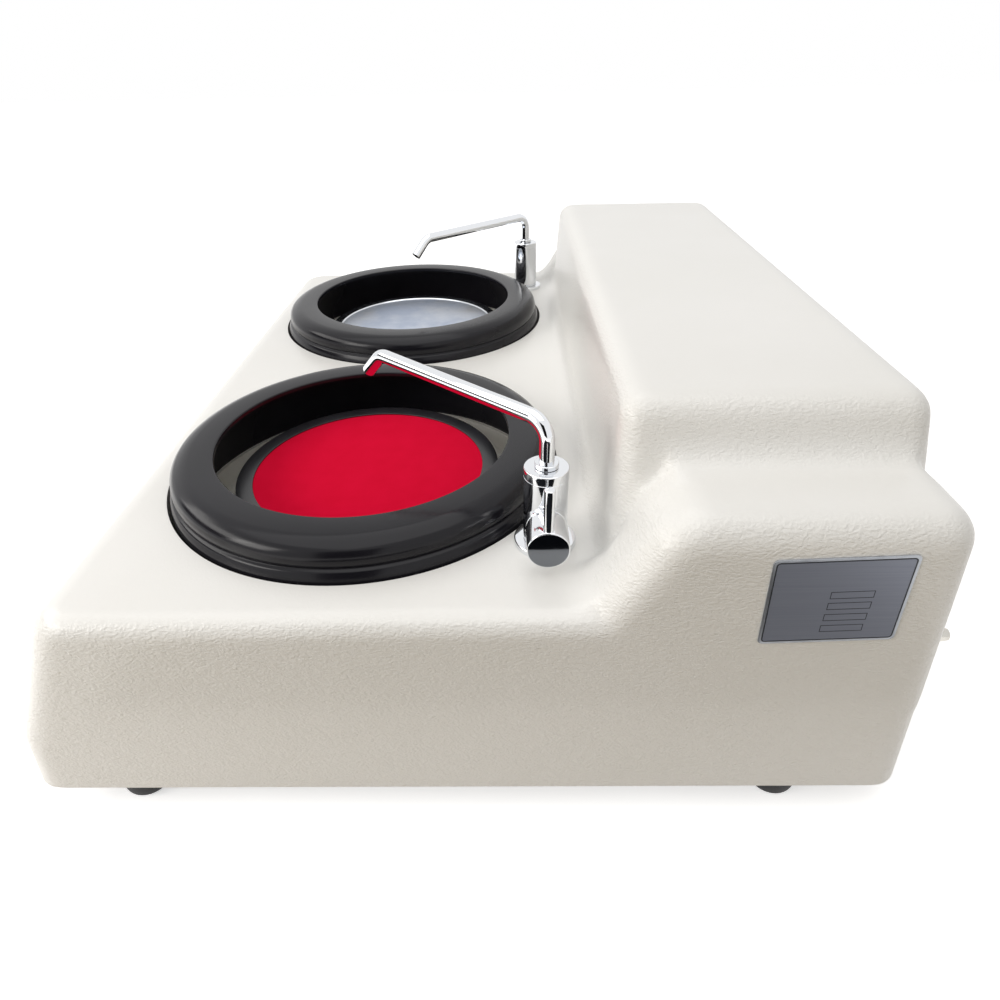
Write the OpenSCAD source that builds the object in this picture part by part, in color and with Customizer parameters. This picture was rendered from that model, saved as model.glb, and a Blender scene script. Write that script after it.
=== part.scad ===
// Bench machine with two discs, for grinding and polishing small metal specimens.
// X runs along the front, Y runs to the back and Z runs up from the bench.
// The origin is on the bench under the middle of the whole outline.

/* [Body] */
// Width over the end walls at the foot line
body_w = 700; // [690:1:760]
// Depth from the front foot line to the rear foot line
body_d = 600; // [590:1:660]
// Height of the rear housing above the bench
body_h = 278; // [270:1:320]
// Thickness of the moulded wall
wall = 5; // [4:0.5:6]
// Height of the deck above the bench
deck_z = 176; // [172:1:182]
// Height of the end shelves above the bench
shelf_z = 242; // [230:1:250]
// Height of the feet, up to the base plate
foot_h = 26; // [22:1:32]
// Height of the upright skirt above the feet
skirt_h = 44; // [36:1:60]
// How far the deck's front edge lies behind the front foot line
deck_front_in = 54; // [45:1:60]
// Distance from the front foot line to the foot of the rear housing
riser_back = 395; // [390:1:410]
// Distance from the front foot line to the foot of the end ramps
ramp_back = 381; // [375:1:390]
// Half width of the rear housing where it meets the shelves
housing_half_w = 283; // [260:1:290]
// Radius of the upright corners
corner_r = 22; // [16:1:28]

/* [Discs] */
// Distance between the two spindle axes
disc_pitch = 330; // [326:1:345]
// Distance from the front foot line to the spindle axes
disc_back = 224; // [220:1:228]
// Diameter of a platter
platter_d = 200; // [190:1:204]
// Thickness of a platter
platter_t = 18; // [14:1:20]
// Height of a platter's face above the bench
platter_z = 168; // [166:1:170]
// Thickness of the polishing cloth
cloth_t = 1; // [0.6:0.1:1.5]
// Inner radius of the hoop that holds the cloth
hoop_inner_r = 89; // [84:1:94]
// Depth of the hoop's skirt round the platter
hoop_skirt_h = 10; // [6:1:14]

/* [Splash rings] */
// Radius of the ring's open mouth
ring_mouth_r = 110; // [106:1:114]
// Radius of the ring at its widest rounded edge
ring_edge_r = 142; // [138:1:143]
// Radius of the ring's skirt
ring_skirt_r = 146; // [145:0.5:147]
// Wall thickness of the ring
ring_wall = 4; // [3:0.5:5]
// Height of the ring's top above the deck
ring_top_rise = 24.5; // [20:0.5:28]
// Depth of the ring's skirt below the deck
ring_sink = 29.5; // [24:0.5:30]
// Radius of the ring's rounded edge
ring_edge_round = 12.5; // [9:0.5:14]

/* [Taps] */
// Distance of a tap's axis from the end foot line
tap_in = 80; // [75:1:88]
// Distance from the front foot line to the tap axes
tap_back = 357; // [350:1:358]
// Radius of the tap's post
post_r = 14; // [12:0.5:15]
// Height of the tap above the deck
post_h = 57; // [52:1:62]
// Radius of the spout tube
spout_r = 4.8; // [4:0.1:5.5]
// Reach of the spout's level run
spout_run = 153; // [130:1:160]
// Height of the level run above the deck
spout_rise = 87; // [82:1:92]
// Length of the spout's nozzle
nozzle_len = 23; // [18:1:24]
// Angle of the nozzle below the level
nozzle_drop = 44; // [30:1:60]
// Direction of the right spout, turned from the +X axis
spout_turn = -132.5; // [-160:0.5:-100]

/* [Drive] */
// Pitch radius of the left disc's pulley
left_pulley_r = 90; // [84:1:92]
// Pitch radius of the right disc's pulley
right_pulley_r = 67.5; // [60:0.5:75]
// Pitch radius of the motor's two steps
motor_pulley_r = 29; // [26:1:31]
// Distance from the rear foot line to the motor's axis
motor_in = 125; // [110:1:130]
// Radius of the motor's housing
motor_r = 56; // [52:1:58]

/* [Hidden] */
$fn = 96;

// Common clearances
cut = 1;
skin = 0.02;
join = 0.1;
fit_gap = 0.02;
run_gap = 0.05;
free_gap = 0.3;

// Body outline
end_draft = 1.5;
ramp_lean = 31;
riser_lean = 2.2;
housing_lean = 15.5;
skirt_front_in = 6;
rear_top_in = 22;
deck_edge_r = 12;
shelf_edge_r = 20;
housing_edge_r = 14;
deck_fillet_r = 18;
ramp_fillet_r = 25;
shelf_fillet_r = 20;
edge_step = 22.5;
skirt_top = foot_h + skirt_h;
front_lean = atan((deck_front_in - skirt_front_in) / (deck_z - skirt_top));

// Fittings on the rear wall
inlet_in = 50;
inlet_x = body_w / 2 - inlet_in;
inlet_z = 118;
inlet_reach = 28;
nipple_r = 5;
nipple_bore_r = 3.5;
inlet_pad_r = 14;
outlet_in = 85;
outlet_x = body_w / 2 - outlet_in;
outlet_z = 54;
outlet_reach = 18;
outlet_r = 10;
outlet_bore_r = 8;
outlet_pad_r = 20;
fitting_flange_t = 4;
fitting_nut_t = 6;
fitting_tail = 24;
pad_margin = 2;

// Lines of the body at a height z
function rear_in(z) = rear_top_in * (z - foot_h) / (body_h - foot_h);
function front_in(z) = z <= skirt_top
  ? skirt_front_in * (z - foot_h) / skirt_h
  : skirt_front_in + (z - skirt_top) * tan(front_lean);
overhang = inlet_reach - rear_in(inlet_z - inlet_pad_r);
front_y = -(body_d + overhang) / 2;
rear_y = front_y + body_d;
function rear_line(z) = rear_y - rear_in(z);
function front_line(z) = front_y + front_in(z);
function end_line(z) = body_w / 2 - (z - foot_h) * tan(end_draft);
function ramp_line(z) = front_y + ramp_back + (z - deck_z) * tan(ramp_lean);
function riser_line(z) = front_y + riser_back + (z - deck_z) * tan(riser_lean);
function housing_line(z) = housing_half_w - (z - shelf_z) * tan(housing_lean);

disc_x = disc_pitch / 2;
disc_y = front_y + disc_back;
tap_x = body_w / 2 - tap_in;
tap_y = front_y + tap_back;
motor_y = rear_y - motor_in;

// Splash rings
ring_crease = 1;

// Bowls under the deck
bowl_opening_r = 147.5;
bowl_wall = 4;
bowl_r = 148;
bowl_low_r = 139;
bowl_floor_z = 122;
bowl_floor_r = 10;
bowl_neck_r = 40;
bowl_neck_top_z = 146;
drain_out = 115.5;
drain_angle = 30;
drain_spigot_z = 98;
ring_foot_z = deck_z - ring_sink;
ledge_z = ring_foot_z - free_gap;
deck_under_z = deck_z - wall;

// Frame that carries the spindles and the motor
base_t = 5;
base_gap = 0.5;
base_lift = 1;
base_z = foot_h + base_lift;
base_top_z = base_z + base_t;
plate_z = 86;
plate_t = 8;
plate_top_z = plate_z + plate_t;
post_stand_r = 9;
post_side_x = 245;
post_side_y = 75;
post_mid_y = 45;
post_rear_x = 225;
post_rear_y = 100;
post_motor_x = 80;
post_motor_y = 64;
plate_margin = 15;
plate_shaft_r = 16;
plate_motor_r = 36;

// Spindles and their bearings
shaft_r = 10;
shaft_low_z = 38;
seat_r = 20;
seat_t = 4;
nose_r = 12;
nose_h = 12;
drive_pin_r = 3;
drive_pin_out = 16;
drive_pin_h = 6;
platter_low_z = platter_z - platter_t;
seat_z = platter_low_z - seat_t;
bearing_w = 14;
bearing_r = 23.5;
bearing_lift = 6;
bearing_seat_gap = 1;
bearing_lower_z = plate_top_z + bearing_lift;
bearing_upper_z = seat_z - bearing_w - bearing_seat_gap;
bearing_inner_wall = 4.2;
bearing_outer_wall = 4.2;
ball_r = 4;
ball_gap = 0.1;
ball_count = 8;
ball_path_r = (shaft_r + bearing_r) / 2;
cradle_r = 33;
cradle_flange_r = 48;
cradle_flange_t = 10;
cradle_bolt_r = 3.2;
cradle_bolt_out = 41;
cradle_bolt_count = 4;
platter_chamfer = 1;
slinger_r = 50;
slinger_wall = 4;
slinger_drop = 10;
cloth_in = 1;
hoop_t = 1.2;
hoop_round = 0.4;

// Pulleys and belts
pulley_w = 16;
belt_right_z = 50;
belt_left_z = 68;
belt_above = 2;
belt_below = 4;
belt_half_top = 4.95;
belt_half_low = 3.75;
groove_gap = 0.35;
groove_floor = 6.5;
rim_above = 3.5;
groove_half_top = 5.6;
groove_half_low = 3.6;
hub_r = 20;
web_t = 6;
rim_t = 8;
lighten_count = 5;
lighten_share = 0.22;

// Motor
motor_wall = 7;
motor_end_t = 8;
motor_head = 64;
motor_h = body_h - plate_top_z - motor_head;
motor_flange_r = 62;
motor_shaft_r = 7;
rotor_r = 31;
rotor_gap = 0.5;
rotor_low = 28;
rotor_share = 0.55;
rotor_h = rotor_share * motor_h;
motor_shaft_low_z = 40;
fan_gap = 5;
fan_h = 16;
fan_r = 50;
fan_hub_r = 14;
fan_blade_t = 2.5;
fan_blades = 7;
cover_t = 1.5;
cover_gap = 8;
vent_r = 3;
vent_count = 12;
vent_out = 30;
motor_top_z = plate_top_z + motor_h;
terminal_w = 60;
terminal_d = 30;
terminal_h = 46;
terminal_rise = 40;
rib_count = 20;
rib_t = 2.5;
rib_h = 4;

// Taps
flange_r = 20;
flange_t = 4;
tail_r = 8;
tail_drop = 26;
tail_low_z = deck_z - tail_drop;
nipple_h = 10;
tap_nut_r = 12;
tap_nut_t = 8;
valve_rise = 22;
valve_z = deck_z + valve_rise;
neck_r = 13;
neck_len = 15.5;
knob_len = 22.5;
stem_r = 6;
stem_past = 6;
lever_r = 3.2;
lever_in = 3.4;
lever_top = 41.2;
lever_seat = 9;
post_top_z = deck_z + post_h;
post_chamfer = 0.8;
spout_bore_r = 3.4;
spout_bend_r = 13;
nozzle_bend_r = 14;
spigot_depth = 18;
spout_collar_r = 7.5;
spout_collar_h = 3;
spout_sides = 24;
arc_steps = 6;

// Control panel on the sloping front
panel_w = 200;
panel_h = 64;
panel_t = 2;
panel_z = 122;
panel_corner_r = 6;
button_x = 45;
button_r = 10.8;
button_gap = 0.4;
button_out = 9;
button_travel = 4;
button_stem_r = 4;
button_cut_r = 15;
contact_w = 28;
contact_d = 34;
contact_h = 28;

// Nameplate and mains inlet
nameplate_rear_in = 89;
nameplate_w = 76;
nameplate_h = 60;
nameplate_t = 0.8;
nameplate_z = 192;
nameplate_tilt = 2.3;
nameplate_corner_r = 3;
mains_x = -120;
mains_z = 110;
mains_w = 48;
mains_h = 28;
mains_flange_t = 3;
mains_body_w = 40;
mains_body_h = 22;
mains_body_d = 26;
socket_w = 25;
socket_h = 16;
socket_d = 17;
pin_w = 2;
pin_h = 4.5;
pin_pitch = 7;
mains_pad_margin = 4;

// Feet and fasteners
foot_in = 23;
foot_x = body_w / 2 - foot_in;
foot_front_back = 69;
foot_rear_in = 80;
foot_rear_back = body_d - foot_rear_in;
foot_r = 17;
foot_sole_r = 11;
foot_bulge_z = 9;
stud_r = 4;
stud_len = 26;
stud_seat = 17;
stud_nut_r = 7.5;
stud_nut_t = 6.5;
lug_r = 10;
lug_h = 20;
lug_wall_in = 14;
lug_x = 150;
lug_front_back = 150;
lug_rear_in = 170;
lug_rear_back = body_d - lug_rear_in;
lug_screw_r = 2.5;
lug_screw_up = 16;
lug_screw_gap = 1;
lug_head_r = 4.5;
lug_head_t = 2.5;

module slice(s) {
  // One level of a moulded block: [z, half width, front y, rear y, corner radius]
  for (side = [-1, 1])
    for (y = [s[2] + s[4], s[3] - s[4]])
      translate([side * (s[1] - s[4]), y, s[0] - skin])
        cylinder(r = s[4], h = skin, $fn = 32);
}

function crown(top_z, r) = [
  for (a = [0 : edge_step : 90]) [top_z - r + r * sin(a), r * (1 - cos(a))]
];

module deck_block(inset) {
  // Skirt, sloping front, end walls and deck
  edge = deck_edge_r - inset;
  low_z = inset > 0 ? foot_h - cut : foot_h + skin;
  levels = concat([[low_z, 0], [skirt_top, 0]], crown(deck_z - inset, edge));
  hull()
    for (lv = levels)
      slice([
        lv[0], end_line(max(lv[0], foot_h)) - inset - lv[1],
        front_line(max(lv[0], foot_h)) + inset + lv[1],
        rear_line(max(lv[0], foot_h)) - inset - lv[1], corner_r - inset - lv[1]
      ]);
}

module shelf_block(inset) {
  // Ramps and end shelves
  levels = concat([[skirt_top, 0]], crown(shelf_z - inset, shelf_edge_r - inset));
  hull()
    for (lv = levels)
      slice([
        lv[0], end_line(lv[0]) - inset - lv[1], ramp_line(lv[0]) + inset + lv[1],
        rear_line(lv[0]) - inset - lv[1], corner_r - inset - lv[1]
      ]);
}

module housing_block(inset) {
  // Raised housing over the motor
  levels = concat([[skirt_top, 0]], crown(body_h - inset, housing_edge_r - inset));
  hull()
    for (lv = levels)
      slice([
        lv[0], housing_line(lv[0]) - inset - lv[1], riser_line(lv[0]) + inset + lv[1],
        rear_line(lv[0]) - inset - lv[1], housing_edge_r + join - inset - lv[1]
      ]);
}

module riser_front() {
  // Space in front of the riser, between the two ramps
  translate([0, riser_line(deck_z), deck_z])
    rotate([90 - riser_lean, 0, 0])
      linear_extrude(riser_back)
        polygon([
          [-housing_line(deck_z), 0], [housing_line(deck_z), 0],
          [housing_half_w, shelf_z - deck_z], [-housing_half_w, shelf_z - deck_z]
        ]);
}

module concave_fillet(len, r, lean) {
  // Fillet between a level floor and a wall that leans back, along X, corner at the origin
  sweep = 90 - lean;
  reach = r * tan(sweep / 2);
  arc = [
    for (i = [0 : 8])
      let (a = -90 + sweep * i / 8)
        [-reach + r * cos(a), r + r * sin(a)]
  ];
  outline = concat([[wall, -wall / 2], [-reach, -wall / 2]], arc, [[wall + reach * sin(lean), reach * cos(lean)]]);
  rotate([90, 0, 90])
    linear_extrude(len, center = true)
      polygon(outline);
}

module rear_pad(x, z, r) {
  // Round boss, flat on both faces, that a rear fitting is clamped on
  inner_y = rear_line(z + r) - wall;
  translate([x, inner_y, z])
    rotate([-90, 0, 0])
      cylinder(r = r, h = rear_line(z - r) - inner_y);
}

module rear_hole(x, z, r) {
  translate([x, rear_line(z) - 2 * wall, z])
    rotate([-90, 0, 0])
      cylinder(r = r, h = 4 * wall);
}

module rounded_plate(w, h, t, r) {
  // Plate in X and Z with its back face at y = 0, growing to -Y
  rotate([90, 0, 0])
    linear_extrude(t)
      union() {
        square([w, h - 2 * r], center = true);
        square([w - 2 * r, h], center = true);
        for (sx = [-1, 1])
          for (sz = [-1, 1])
            translate([sx * (w / 2 - r), sz * (h / 2 - r)])
              circle(r = r);
      }
}

module on_front(x) {
  // Frame on the sloping front: +Z up the slope, -Y out of it
  translate([x, front_line(panel_z), panel_z])
    rotate([-front_lean, 0, 0])
      children();
}

function mains_face_y() = rear_line(mains_z - mains_h / 2 - mains_pad_margin);

module lug_places() {
  for (side = [-1, 1]) {
    for (back = [lug_front_back, lug_rear_back])
      translate([side * (body_w / 2 - lug_wall_in), front_y + back, 0])
        children();
    for (y = [front_y + lug_wall_in, rear_y - lug_wall_in])
      translate([side * lug_x, y, 0])
        children();
  }
}

module housing_shell() {
  color("#efeeea")
    difference() {
      union() {
        difference() {
          union() {
            deck_block(0);
            difference() {
              shelf_block(0);
              riser_front();
            }
            housing_block(0);
            translate([0, riser_line(deck_z), deck_z])
              concave_fillet(2 * housing_line(deck_z), deck_fillet_r, riser_lean);
            for (side = [-1, 1]) {
              ramp_len = end_line(deck_z) - deck_edge_r - housing_line(deck_z);
              translate([side * (housing_line(deck_z) + ramp_len / 2), ramp_line(deck_z), deck_z])
                concave_fillet(ramp_len, ramp_fillet_r, ramp_lean);
              shelf_front = ramp_line(shelf_z) + shelf_edge_r;
              shelf_len = rear_line(shelf_z) - shelf_edge_r - shelf_front;
              translate([side * housing_half_w, shelf_front + shelf_len / 2, shelf_z])
                rotate([0, 0, side * 90])
                  concave_fillet(shelf_len, shelf_fillet_r, housing_lean);
            }
          }
          deck_block(wall);
          shelf_block(wall);
          housing_block(wall);
        }
        lug_places()
          translate([0, 0, base_top_z])
            cylinder(r = lug_r, h = lug_h);
        for (side = [-1, 1]) {
          rear_pad(side * inlet_x, inlet_z, inlet_pad_r);
          rear_pad(side * outlet_x, outlet_z, outlet_pad_r);
        }
        translate([mains_x, rear_line(mains_z) - wall, mains_z])
          mirror([0, 1, 0])
            rounded_plate(
              mains_w + 2 * mains_pad_margin, mains_h + 2 * mains_pad_margin,
              mains_face_y() - rear_line(mains_z) + wall, mains_pad_margin
            );
      }
      for (side = [-1, 1]) {
        translate([side * disc_x, disc_y, deck_under_z - cut])
          cylinder(r = bowl_opening_r, h = wall + 2 * cut);
        translate([side * tap_x, tap_y, deck_under_z - cut])
          cylinder(r = tail_r + free_gap, h = wall + 2 * cut);
        translate([side * tap_x, tap_y, deck_z])
          cylinder(r = flange_r + free_gap, h = flange_t);
        rear_hole(side * inlet_x, inlet_z, nipple_r + free_gap);
        rear_hole(side * outlet_x, outlet_z, outlet_r + free_gap);
      }
      for (x = [-button_x, button_x])
        on_front(x)
          rotate([90, 0, 0])
            cylinder(r = button_cut_r, h = 4 * wall, center = true);
      translate([mains_x, rear_line(mains_z), mains_z])
        cube([mains_body_w + 2 * free_gap, 4 * wall, mains_body_h + 2 * free_gap], center = true);
      lug_places()
        translate([0, 0, base_top_z - cut])
          cylinder(r = lug_screw_r + fit_gap, h = lug_screw_up + cut);
    }
}

module base_plate() {
  half_w = body_w / 2 - wall - base_gap;
  half_d = body_d / 2 - wall - base_gap - max(front_in(base_top_z), rear_in(base_top_z));
  r = corner_r - wall - base_gap;
  color("#8f9398")
    translate([0, front_y + body_d / 2, base_z])
      difference() {
        linear_extrude(base_t)
          union() {
            square([2 * half_w, 2 * (half_d - r)], center = true);
            square([2 * (half_w - r), 2 * half_d], center = true);
            for (sx = [-1, 1])
              for (sy = [-1, 1])
                translate([sx * (half_w - r), sy * (half_d - r)])
                  circle(r = r);
          }
        translate([0, -front_y - body_d / 2, -base_z]) {
          lug_places()
            translate([0, 0, base_z - cut])
              cylinder(r = lug_screw_r + free_gap, h = base_t + 2 * cut);
          foot_places()
            translate([0, 0, base_z - cut])
              cylinder(r = stud_r + free_gap, h = base_t + 2 * cut);
        }
      }
}

module foot_places() {
  for (side = [-1, 1])
    for (back = [foot_front_back, foot_rear_back])
      foot_place(side, back)
        children();
}

module foot_place(side, back) {
  translate([side * foot_x, front_y + back, 0])
    children();
}

module foot() {
  round_r = foot_r - foot_sole_r;
  color("#1d1d20")
    difference() {
      rotate_extrude()
        polygon(concat(
          [[0, 0]],
          [
            for (a = [-90 : 15 : 0])
              [foot_sole_r + round_r * cos(a), foot_bulge_z + foot_bulge_z * sin(a)]
          ],
          [[foot_r, base_z], [0, base_z]]
        ));
      translate([0, 0, stud_seat])
        cylinder(r = stud_r + fit_gap, h = foot_h);
    }
}

module foot_front_left() foot_place(-1, foot_front_back) foot();
module foot_front_right() foot_place(1, foot_front_back) foot();
module foot_rear_left() foot_place(-1, foot_rear_back) foot();
module foot_rear_right() foot_place(1, foot_rear_back) foot();

module base_fasteners() {
  color("#b9bcc0") {
    foot_places() {
      translate([0, 0, stud_seat])
        cylinder(r = stud_r, h = stud_len);
      translate([0, 0, base_top_z])
        cylinder(r = stud_nut_r, h = stud_nut_t, $fn = 6);
    }
    lug_places() {
      translate([0, 0, base_z])
        cylinder(r = lug_screw_r, h = base_t + lug_screw_up - lug_screw_gap);
      translate([0, 0, base_z - lug_head_t])
        cylinder(r = lug_head_r, h = lug_head_t);
    }
  }
}

module post_places() {
  for (side = [-1, 1]) {
    translate([side * post_side_x, disc_y - post_side_y, 0])
      children();
    translate([side * post_rear_x, disc_y + post_rear_y, 0])
      children();
    translate([side * post_motor_x, motor_y + post_motor_y, 0])
      children();
  }
  translate([0, disc_y - post_mid_y, 0])
    children();
}

module frame_plate() {
  front = disc_y - post_side_y - plate_margin;
  mid = disc_y + post_rear_y + plate_margin;
  back = motor_y + post_motor_y + plate_margin;
  half_motor = post_motor_x + plate_margin;
  half_rear = post_rear_x + plate_margin;
  half_front = post_side_x + plate_margin;
  color("#5d6670")
    difference() {
      translate([0, 0, plate_z])
        linear_extrude(plate_t)
          polygon([
            [-half_front, front], [half_front, front], [half_rear, mid], [half_motor, mid],
            [half_motor, back], [-half_motor, back], [-half_motor, mid], [-half_rear, mid]
          ]);
      for (side = [-1, 1])
        translate([side * disc_x, disc_y, plate_z - cut]) {
          cylinder(r = plate_shaft_r, h = plate_t + 2 * cut);
          cradle_bolts()
            cylinder(r = cradle_bolt_r, h = plate_t + 2 * cut);
        }
      translate([0, motor_y, plate_z - cut])
        cylinder(r = plate_motor_r, h = plate_t + 2 * cut);
    }
}

module cradle_bolts() {
  for (i = [0 : cradle_bolt_count - 1])
    rotate([0, 0, 45 + 360 * i / cradle_bolt_count])
      translate([cradle_bolt_out, 0, 0])
        children();
}

module frame_posts() {
  color("#70777f")
    post_places()
      translate([0, 0, base_top_z])
        cylinder(r = post_stand_r, h = plate_z - base_top_z, $fn = 48);
}

module bowl(side) {
  out_r = bowl_r + bowl_wall;
  low_out_r = bowl_low_r + bowl_wall;
  floor_under_z = bowl_floor_z - bowl_wall;
  color("#e6e3db")
    translate([side * disc_x, disc_y, 0])
      difference() {
        union() {
          rotate_extrude($fn = 128)
            polygon(concat(
              [
                [bowl_neck_r - bowl_wall, floor_under_z],
                [bowl_neck_r - bowl_wall, bowl_neck_top_z],
                [bowl_neck_r, bowl_neck_top_z], [bowl_neck_r, bowl_floor_z]
              ],
              [
                for (a = [-90 : 18 : 0]) [
                  bowl_low_r - bowl_floor_r + bowl_floor_r * cos(a),
                  bowl_floor_z + bowl_floor_r + bowl_floor_r * sin(a)
                ]
              ],
              [
                [bowl_low_r, ledge_z], [bowl_r, ledge_z], [bowl_r, deck_under_z],
                [out_r, deck_under_z], [out_r, ledge_z - bowl_wall],
                [low_out_r, ledge_z - bowl_wall], [low_out_r, floor_under_z]
              ]
            ));
          drain_place(side)
            translate([0, 0, drain_spigot_z])
              cylinder(r = outlet_r, h = bowl_floor_z - drain_spigot_z - cut);
        }
        drain_place(side)
          translate([0, 0, drain_spigot_z - cut])
            cylinder(r = outlet_bore_r, h = bowl_floor_z - drain_spigot_z + 2 * cut);
      }
}

module drain_place(side) {
  translate([side * drain_out * cos(drain_angle), drain_out * sin(drain_angle), 0])
    children();
}

module bowl_left() bowl(-1);
module bowl_right() bowl(1);

module splash_ring(side) {
  top_z = deck_z + ring_top_rise;
  mid_r = ring_edge_r - ring_edge_round;
  mid_z = top_z - ring_edge_round;
  crease = ring_crease;
  in_r = ring_edge_round - ring_wall;
  color("#2b2b2f")
    translate([side * disc_x, disc_y, 0])
      rotate_extrude($fn = 128)
        polygon(concat(
          [[ring_mouth_r, top_z - crease], [ring_mouth_r + crease, top_z]],
          [for (a = [90 : -15 : 0]) [mid_r + ring_edge_round * cos(a), mid_z + ring_edge_round * sin(a)]],
          [
            [ring_edge_r - crease, mid_z - crease], [ring_skirt_r - crease, deck_z + crease],
            [ring_skirt_r, deck_z - ring_wall], [ring_skirt_r, ring_foot_z],
            [ring_skirt_r - ring_wall, ring_foot_z], [ring_skirt_r - ring_wall, deck_z - ring_wall],
            [ring_edge_r - ring_wall, mid_z]
          ],
          [for (a = [15 : 15 : 90]) [mid_r + in_r * cos(a), mid_z + in_r * sin(a)]],
          [[ring_mouth_r + crease, top_z - ring_wall], [ring_mouth_r, top_z - ring_wall + crease]]
        ));
}

module splash_ring_left() splash_ring(-1);
module splash_ring_right() splash_ring(1);

module platter(side) {
  r = platter_d / 2;
  chamfer = platter_chamfer;
  color("#c9ccd1")
    translate([side * disc_x, disc_y, 0])
      difference() {
        union() {
          rotate_extrude($fn = 128)
            polygon([
              [0, platter_low_z], [r - chamfer, platter_low_z], [r, platter_low_z + chamfer],
              [r, platter_z - chamfer], [r - chamfer, platter_z], [0, platter_z]
            ]);
          translate([0, 0, platter_low_z - slinger_drop])
            difference() {
              cylinder(r = slinger_r, h = slinger_drop + cut);
              translate([0, 0, -cut])
                cylinder(r = slinger_r - slinger_wall, h = slinger_drop + cut);
            }
        }
        translate([0, 0, platter_low_z - cut])
          cylinder(r = nose_r + run_gap, h = nose_h + 2 * cut);
        translate([drive_pin_out, 0, platter_low_z - cut])
          cylinder(r = drive_pin_r + run_gap, h = drive_pin_h + 2 * cut);
      }
}

module platter_left() platter(-1);
module platter_right() platter(1);

module polishing_cloth() {
  color("#d90d32")
    translate([disc_x, disc_y, platter_z])
      cylinder(r = platter_d / 2 - cloth_in, h = cloth_t, $fn = 128);
}

module cloth_hoop() {
  in_r = platter_d / 2 + free_gap;
  out_r = in_r + hoop_t;
  low_z = platter_z + cloth_t + free_gap;
  color("#26262a")
    translate([disc_x, disc_y, 0])
      rotate_extrude($fn = 128)
        polygon([
          [hoop_inner_r, low_z], [in_r, low_z], [in_r, low_z - hoop_skirt_h],
          [out_r, low_z - hoop_skirt_h], [out_r, low_z + hoop_t - hoop_round],
          [out_r - hoop_round, low_z + hoop_t], [hoop_inner_r + hoop_round, low_z + hoop_t]
        ]);
}

module spindle(side) {
  color("#b4b7bc")
    translate([side * disc_x, disc_y, 0]) {
      translate([0, 0, shaft_low_z])
        cylinder(r = shaft_r, h = seat_z - shaft_low_z);
      translate([0, 0, seat_z])
        cylinder(r = seat_r, h = platter_low_z - seat_z);
      translate([0, 0, platter_low_z])
        cylinder(r = nose_r, h = nose_h);
      translate([drive_pin_out, 0, platter_low_z])
        cylinder(r = drive_pin_r, h = drive_pin_h);
    }
}

module spindle_left() spindle(-1);
module spindle_right() spindle(1);

module groove(pitch_r, z) {
  // Space that a belt runs in
  rotate_extrude()
    polygon([
      [pitch_r - groove_floor, z - groove_half_low], [pitch_r + rim_above, z - groove_half_top],
      [pitch_r + rim_above + cut, z - groove_half_top], [pitch_r + rim_above + cut, z + groove_half_top],
      [pitch_r + rim_above, z + groove_half_top], [pitch_r - groove_floor, z + groove_half_low]
    ]);
}

module spindle_pulley(side, pitch_r, z) {
  rim_r = pitch_r - groove_floor - rim_t;
  web_mid_r = (rim_r + hub_r) / 2;
  color("#6b6e72")
    translate([side * disc_x, disc_y, 0])
      difference() {
        translate([0, 0, z - pulley_w / 2])
          cylinder(r = pitch_r + rim_above, h = pulley_w);
        groove(pitch_r, z);
        for (face = [z - pulley_w / 2 - cut, z + web_t / 2])
          translate([0, 0, face])
            difference() {
              cylinder(r = rim_r, h = (pulley_w - web_t) / 2 + cut);
              translate([0, 0, -cut])
                cylinder(r = hub_r, h = pulley_w);
            }
        for (i = [0 : lighten_count - 1])
          rotate([0, 0, 360 * i / lighten_count])
            translate([web_mid_r, 0, z - pulley_w])
              cylinder(r = lighten_share * rim_r, h = 2 * pulley_w);
        translate([0, 0, z - pulley_w])
          cylinder(r = shaft_r + fit_gap, h = 2 * pulley_w);
      }
}

module pulley_left() spindle_pulley(-1, left_pulley_r, belt_left_z);
module pulley_right() spindle_pulley(1, right_pulley_r, belt_right_z);

module bearing_housing(side) {
  color("#4c5157")
    translate([side * disc_x, disc_y, 0])
      difference() {
        union() {
          translate([0, 0, plate_top_z])
            cylinder(r = cradle_flange_r, h = cradle_flange_t);
          translate([0, 0, plate_top_z])
            cylinder(r = cradle_r, h = seat_z - bearing_seat_gap - plate_top_z);
        }
        translate([0, 0, bearing_lower_z])
          cylinder(r = bearing_r + fit_gap, h = bearing_w);
        translate([0, 0, bearing_upper_z])
          cylinder(r = bearing_r + fit_gap, h = bearing_w + cut);
        translate([0, 0, plate_top_z - cut])
          cylinder(r = bearing_r - bearing_outer_wall, h = seat_z - plate_top_z);
        cradle_bolts()
          translate([0, 0, plate_top_z - cut])
            cylinder(r = cradle_bolt_r, h = cradle_flange_t + 2 * cut);
      }
}

module bearing_housing_left() bearing_housing(-1);
module bearing_housing_right() bearing_housing(1);

module bearing_places(sides) {
  for (side = sides)
    for (z = [bearing_lower_z, bearing_upper_z])
      translate([side * disc_x, disc_y, z])
        children();
}

module ball_race() {
  translate([0, 0, bearing_w / 2])
    rotate_extrude()
      translate([ball_path_r, 0])
        circle(r = ball_r + ball_gap, $fn = 24);
}

module bearing_outer_rings() {
  color("#a9adb3")
    bearing_places([-1, 1])
      difference() {
        cylinder(r = bearing_r, h = bearing_w);
        translate([0, 0, -cut])
          cylinder(r = bearing_r - bearing_outer_wall, h = bearing_w + 2 * cut);
        ball_race();
      }
}

module bearing_inner_rings(side) {
  color("#a9adb3")
    bearing_places([side])
      difference() {
        cylinder(r = shaft_r + bearing_inner_wall, h = bearing_w);
        translate([0, 0, -cut])
          cylinder(r = shaft_r + fit_gap, h = bearing_w + 2 * cut);
        ball_race();
      }
}

module bearing_inner_rings_left() bearing_inner_rings(-1);
module bearing_inner_rings_right() bearing_inner_rings(1);

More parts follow.
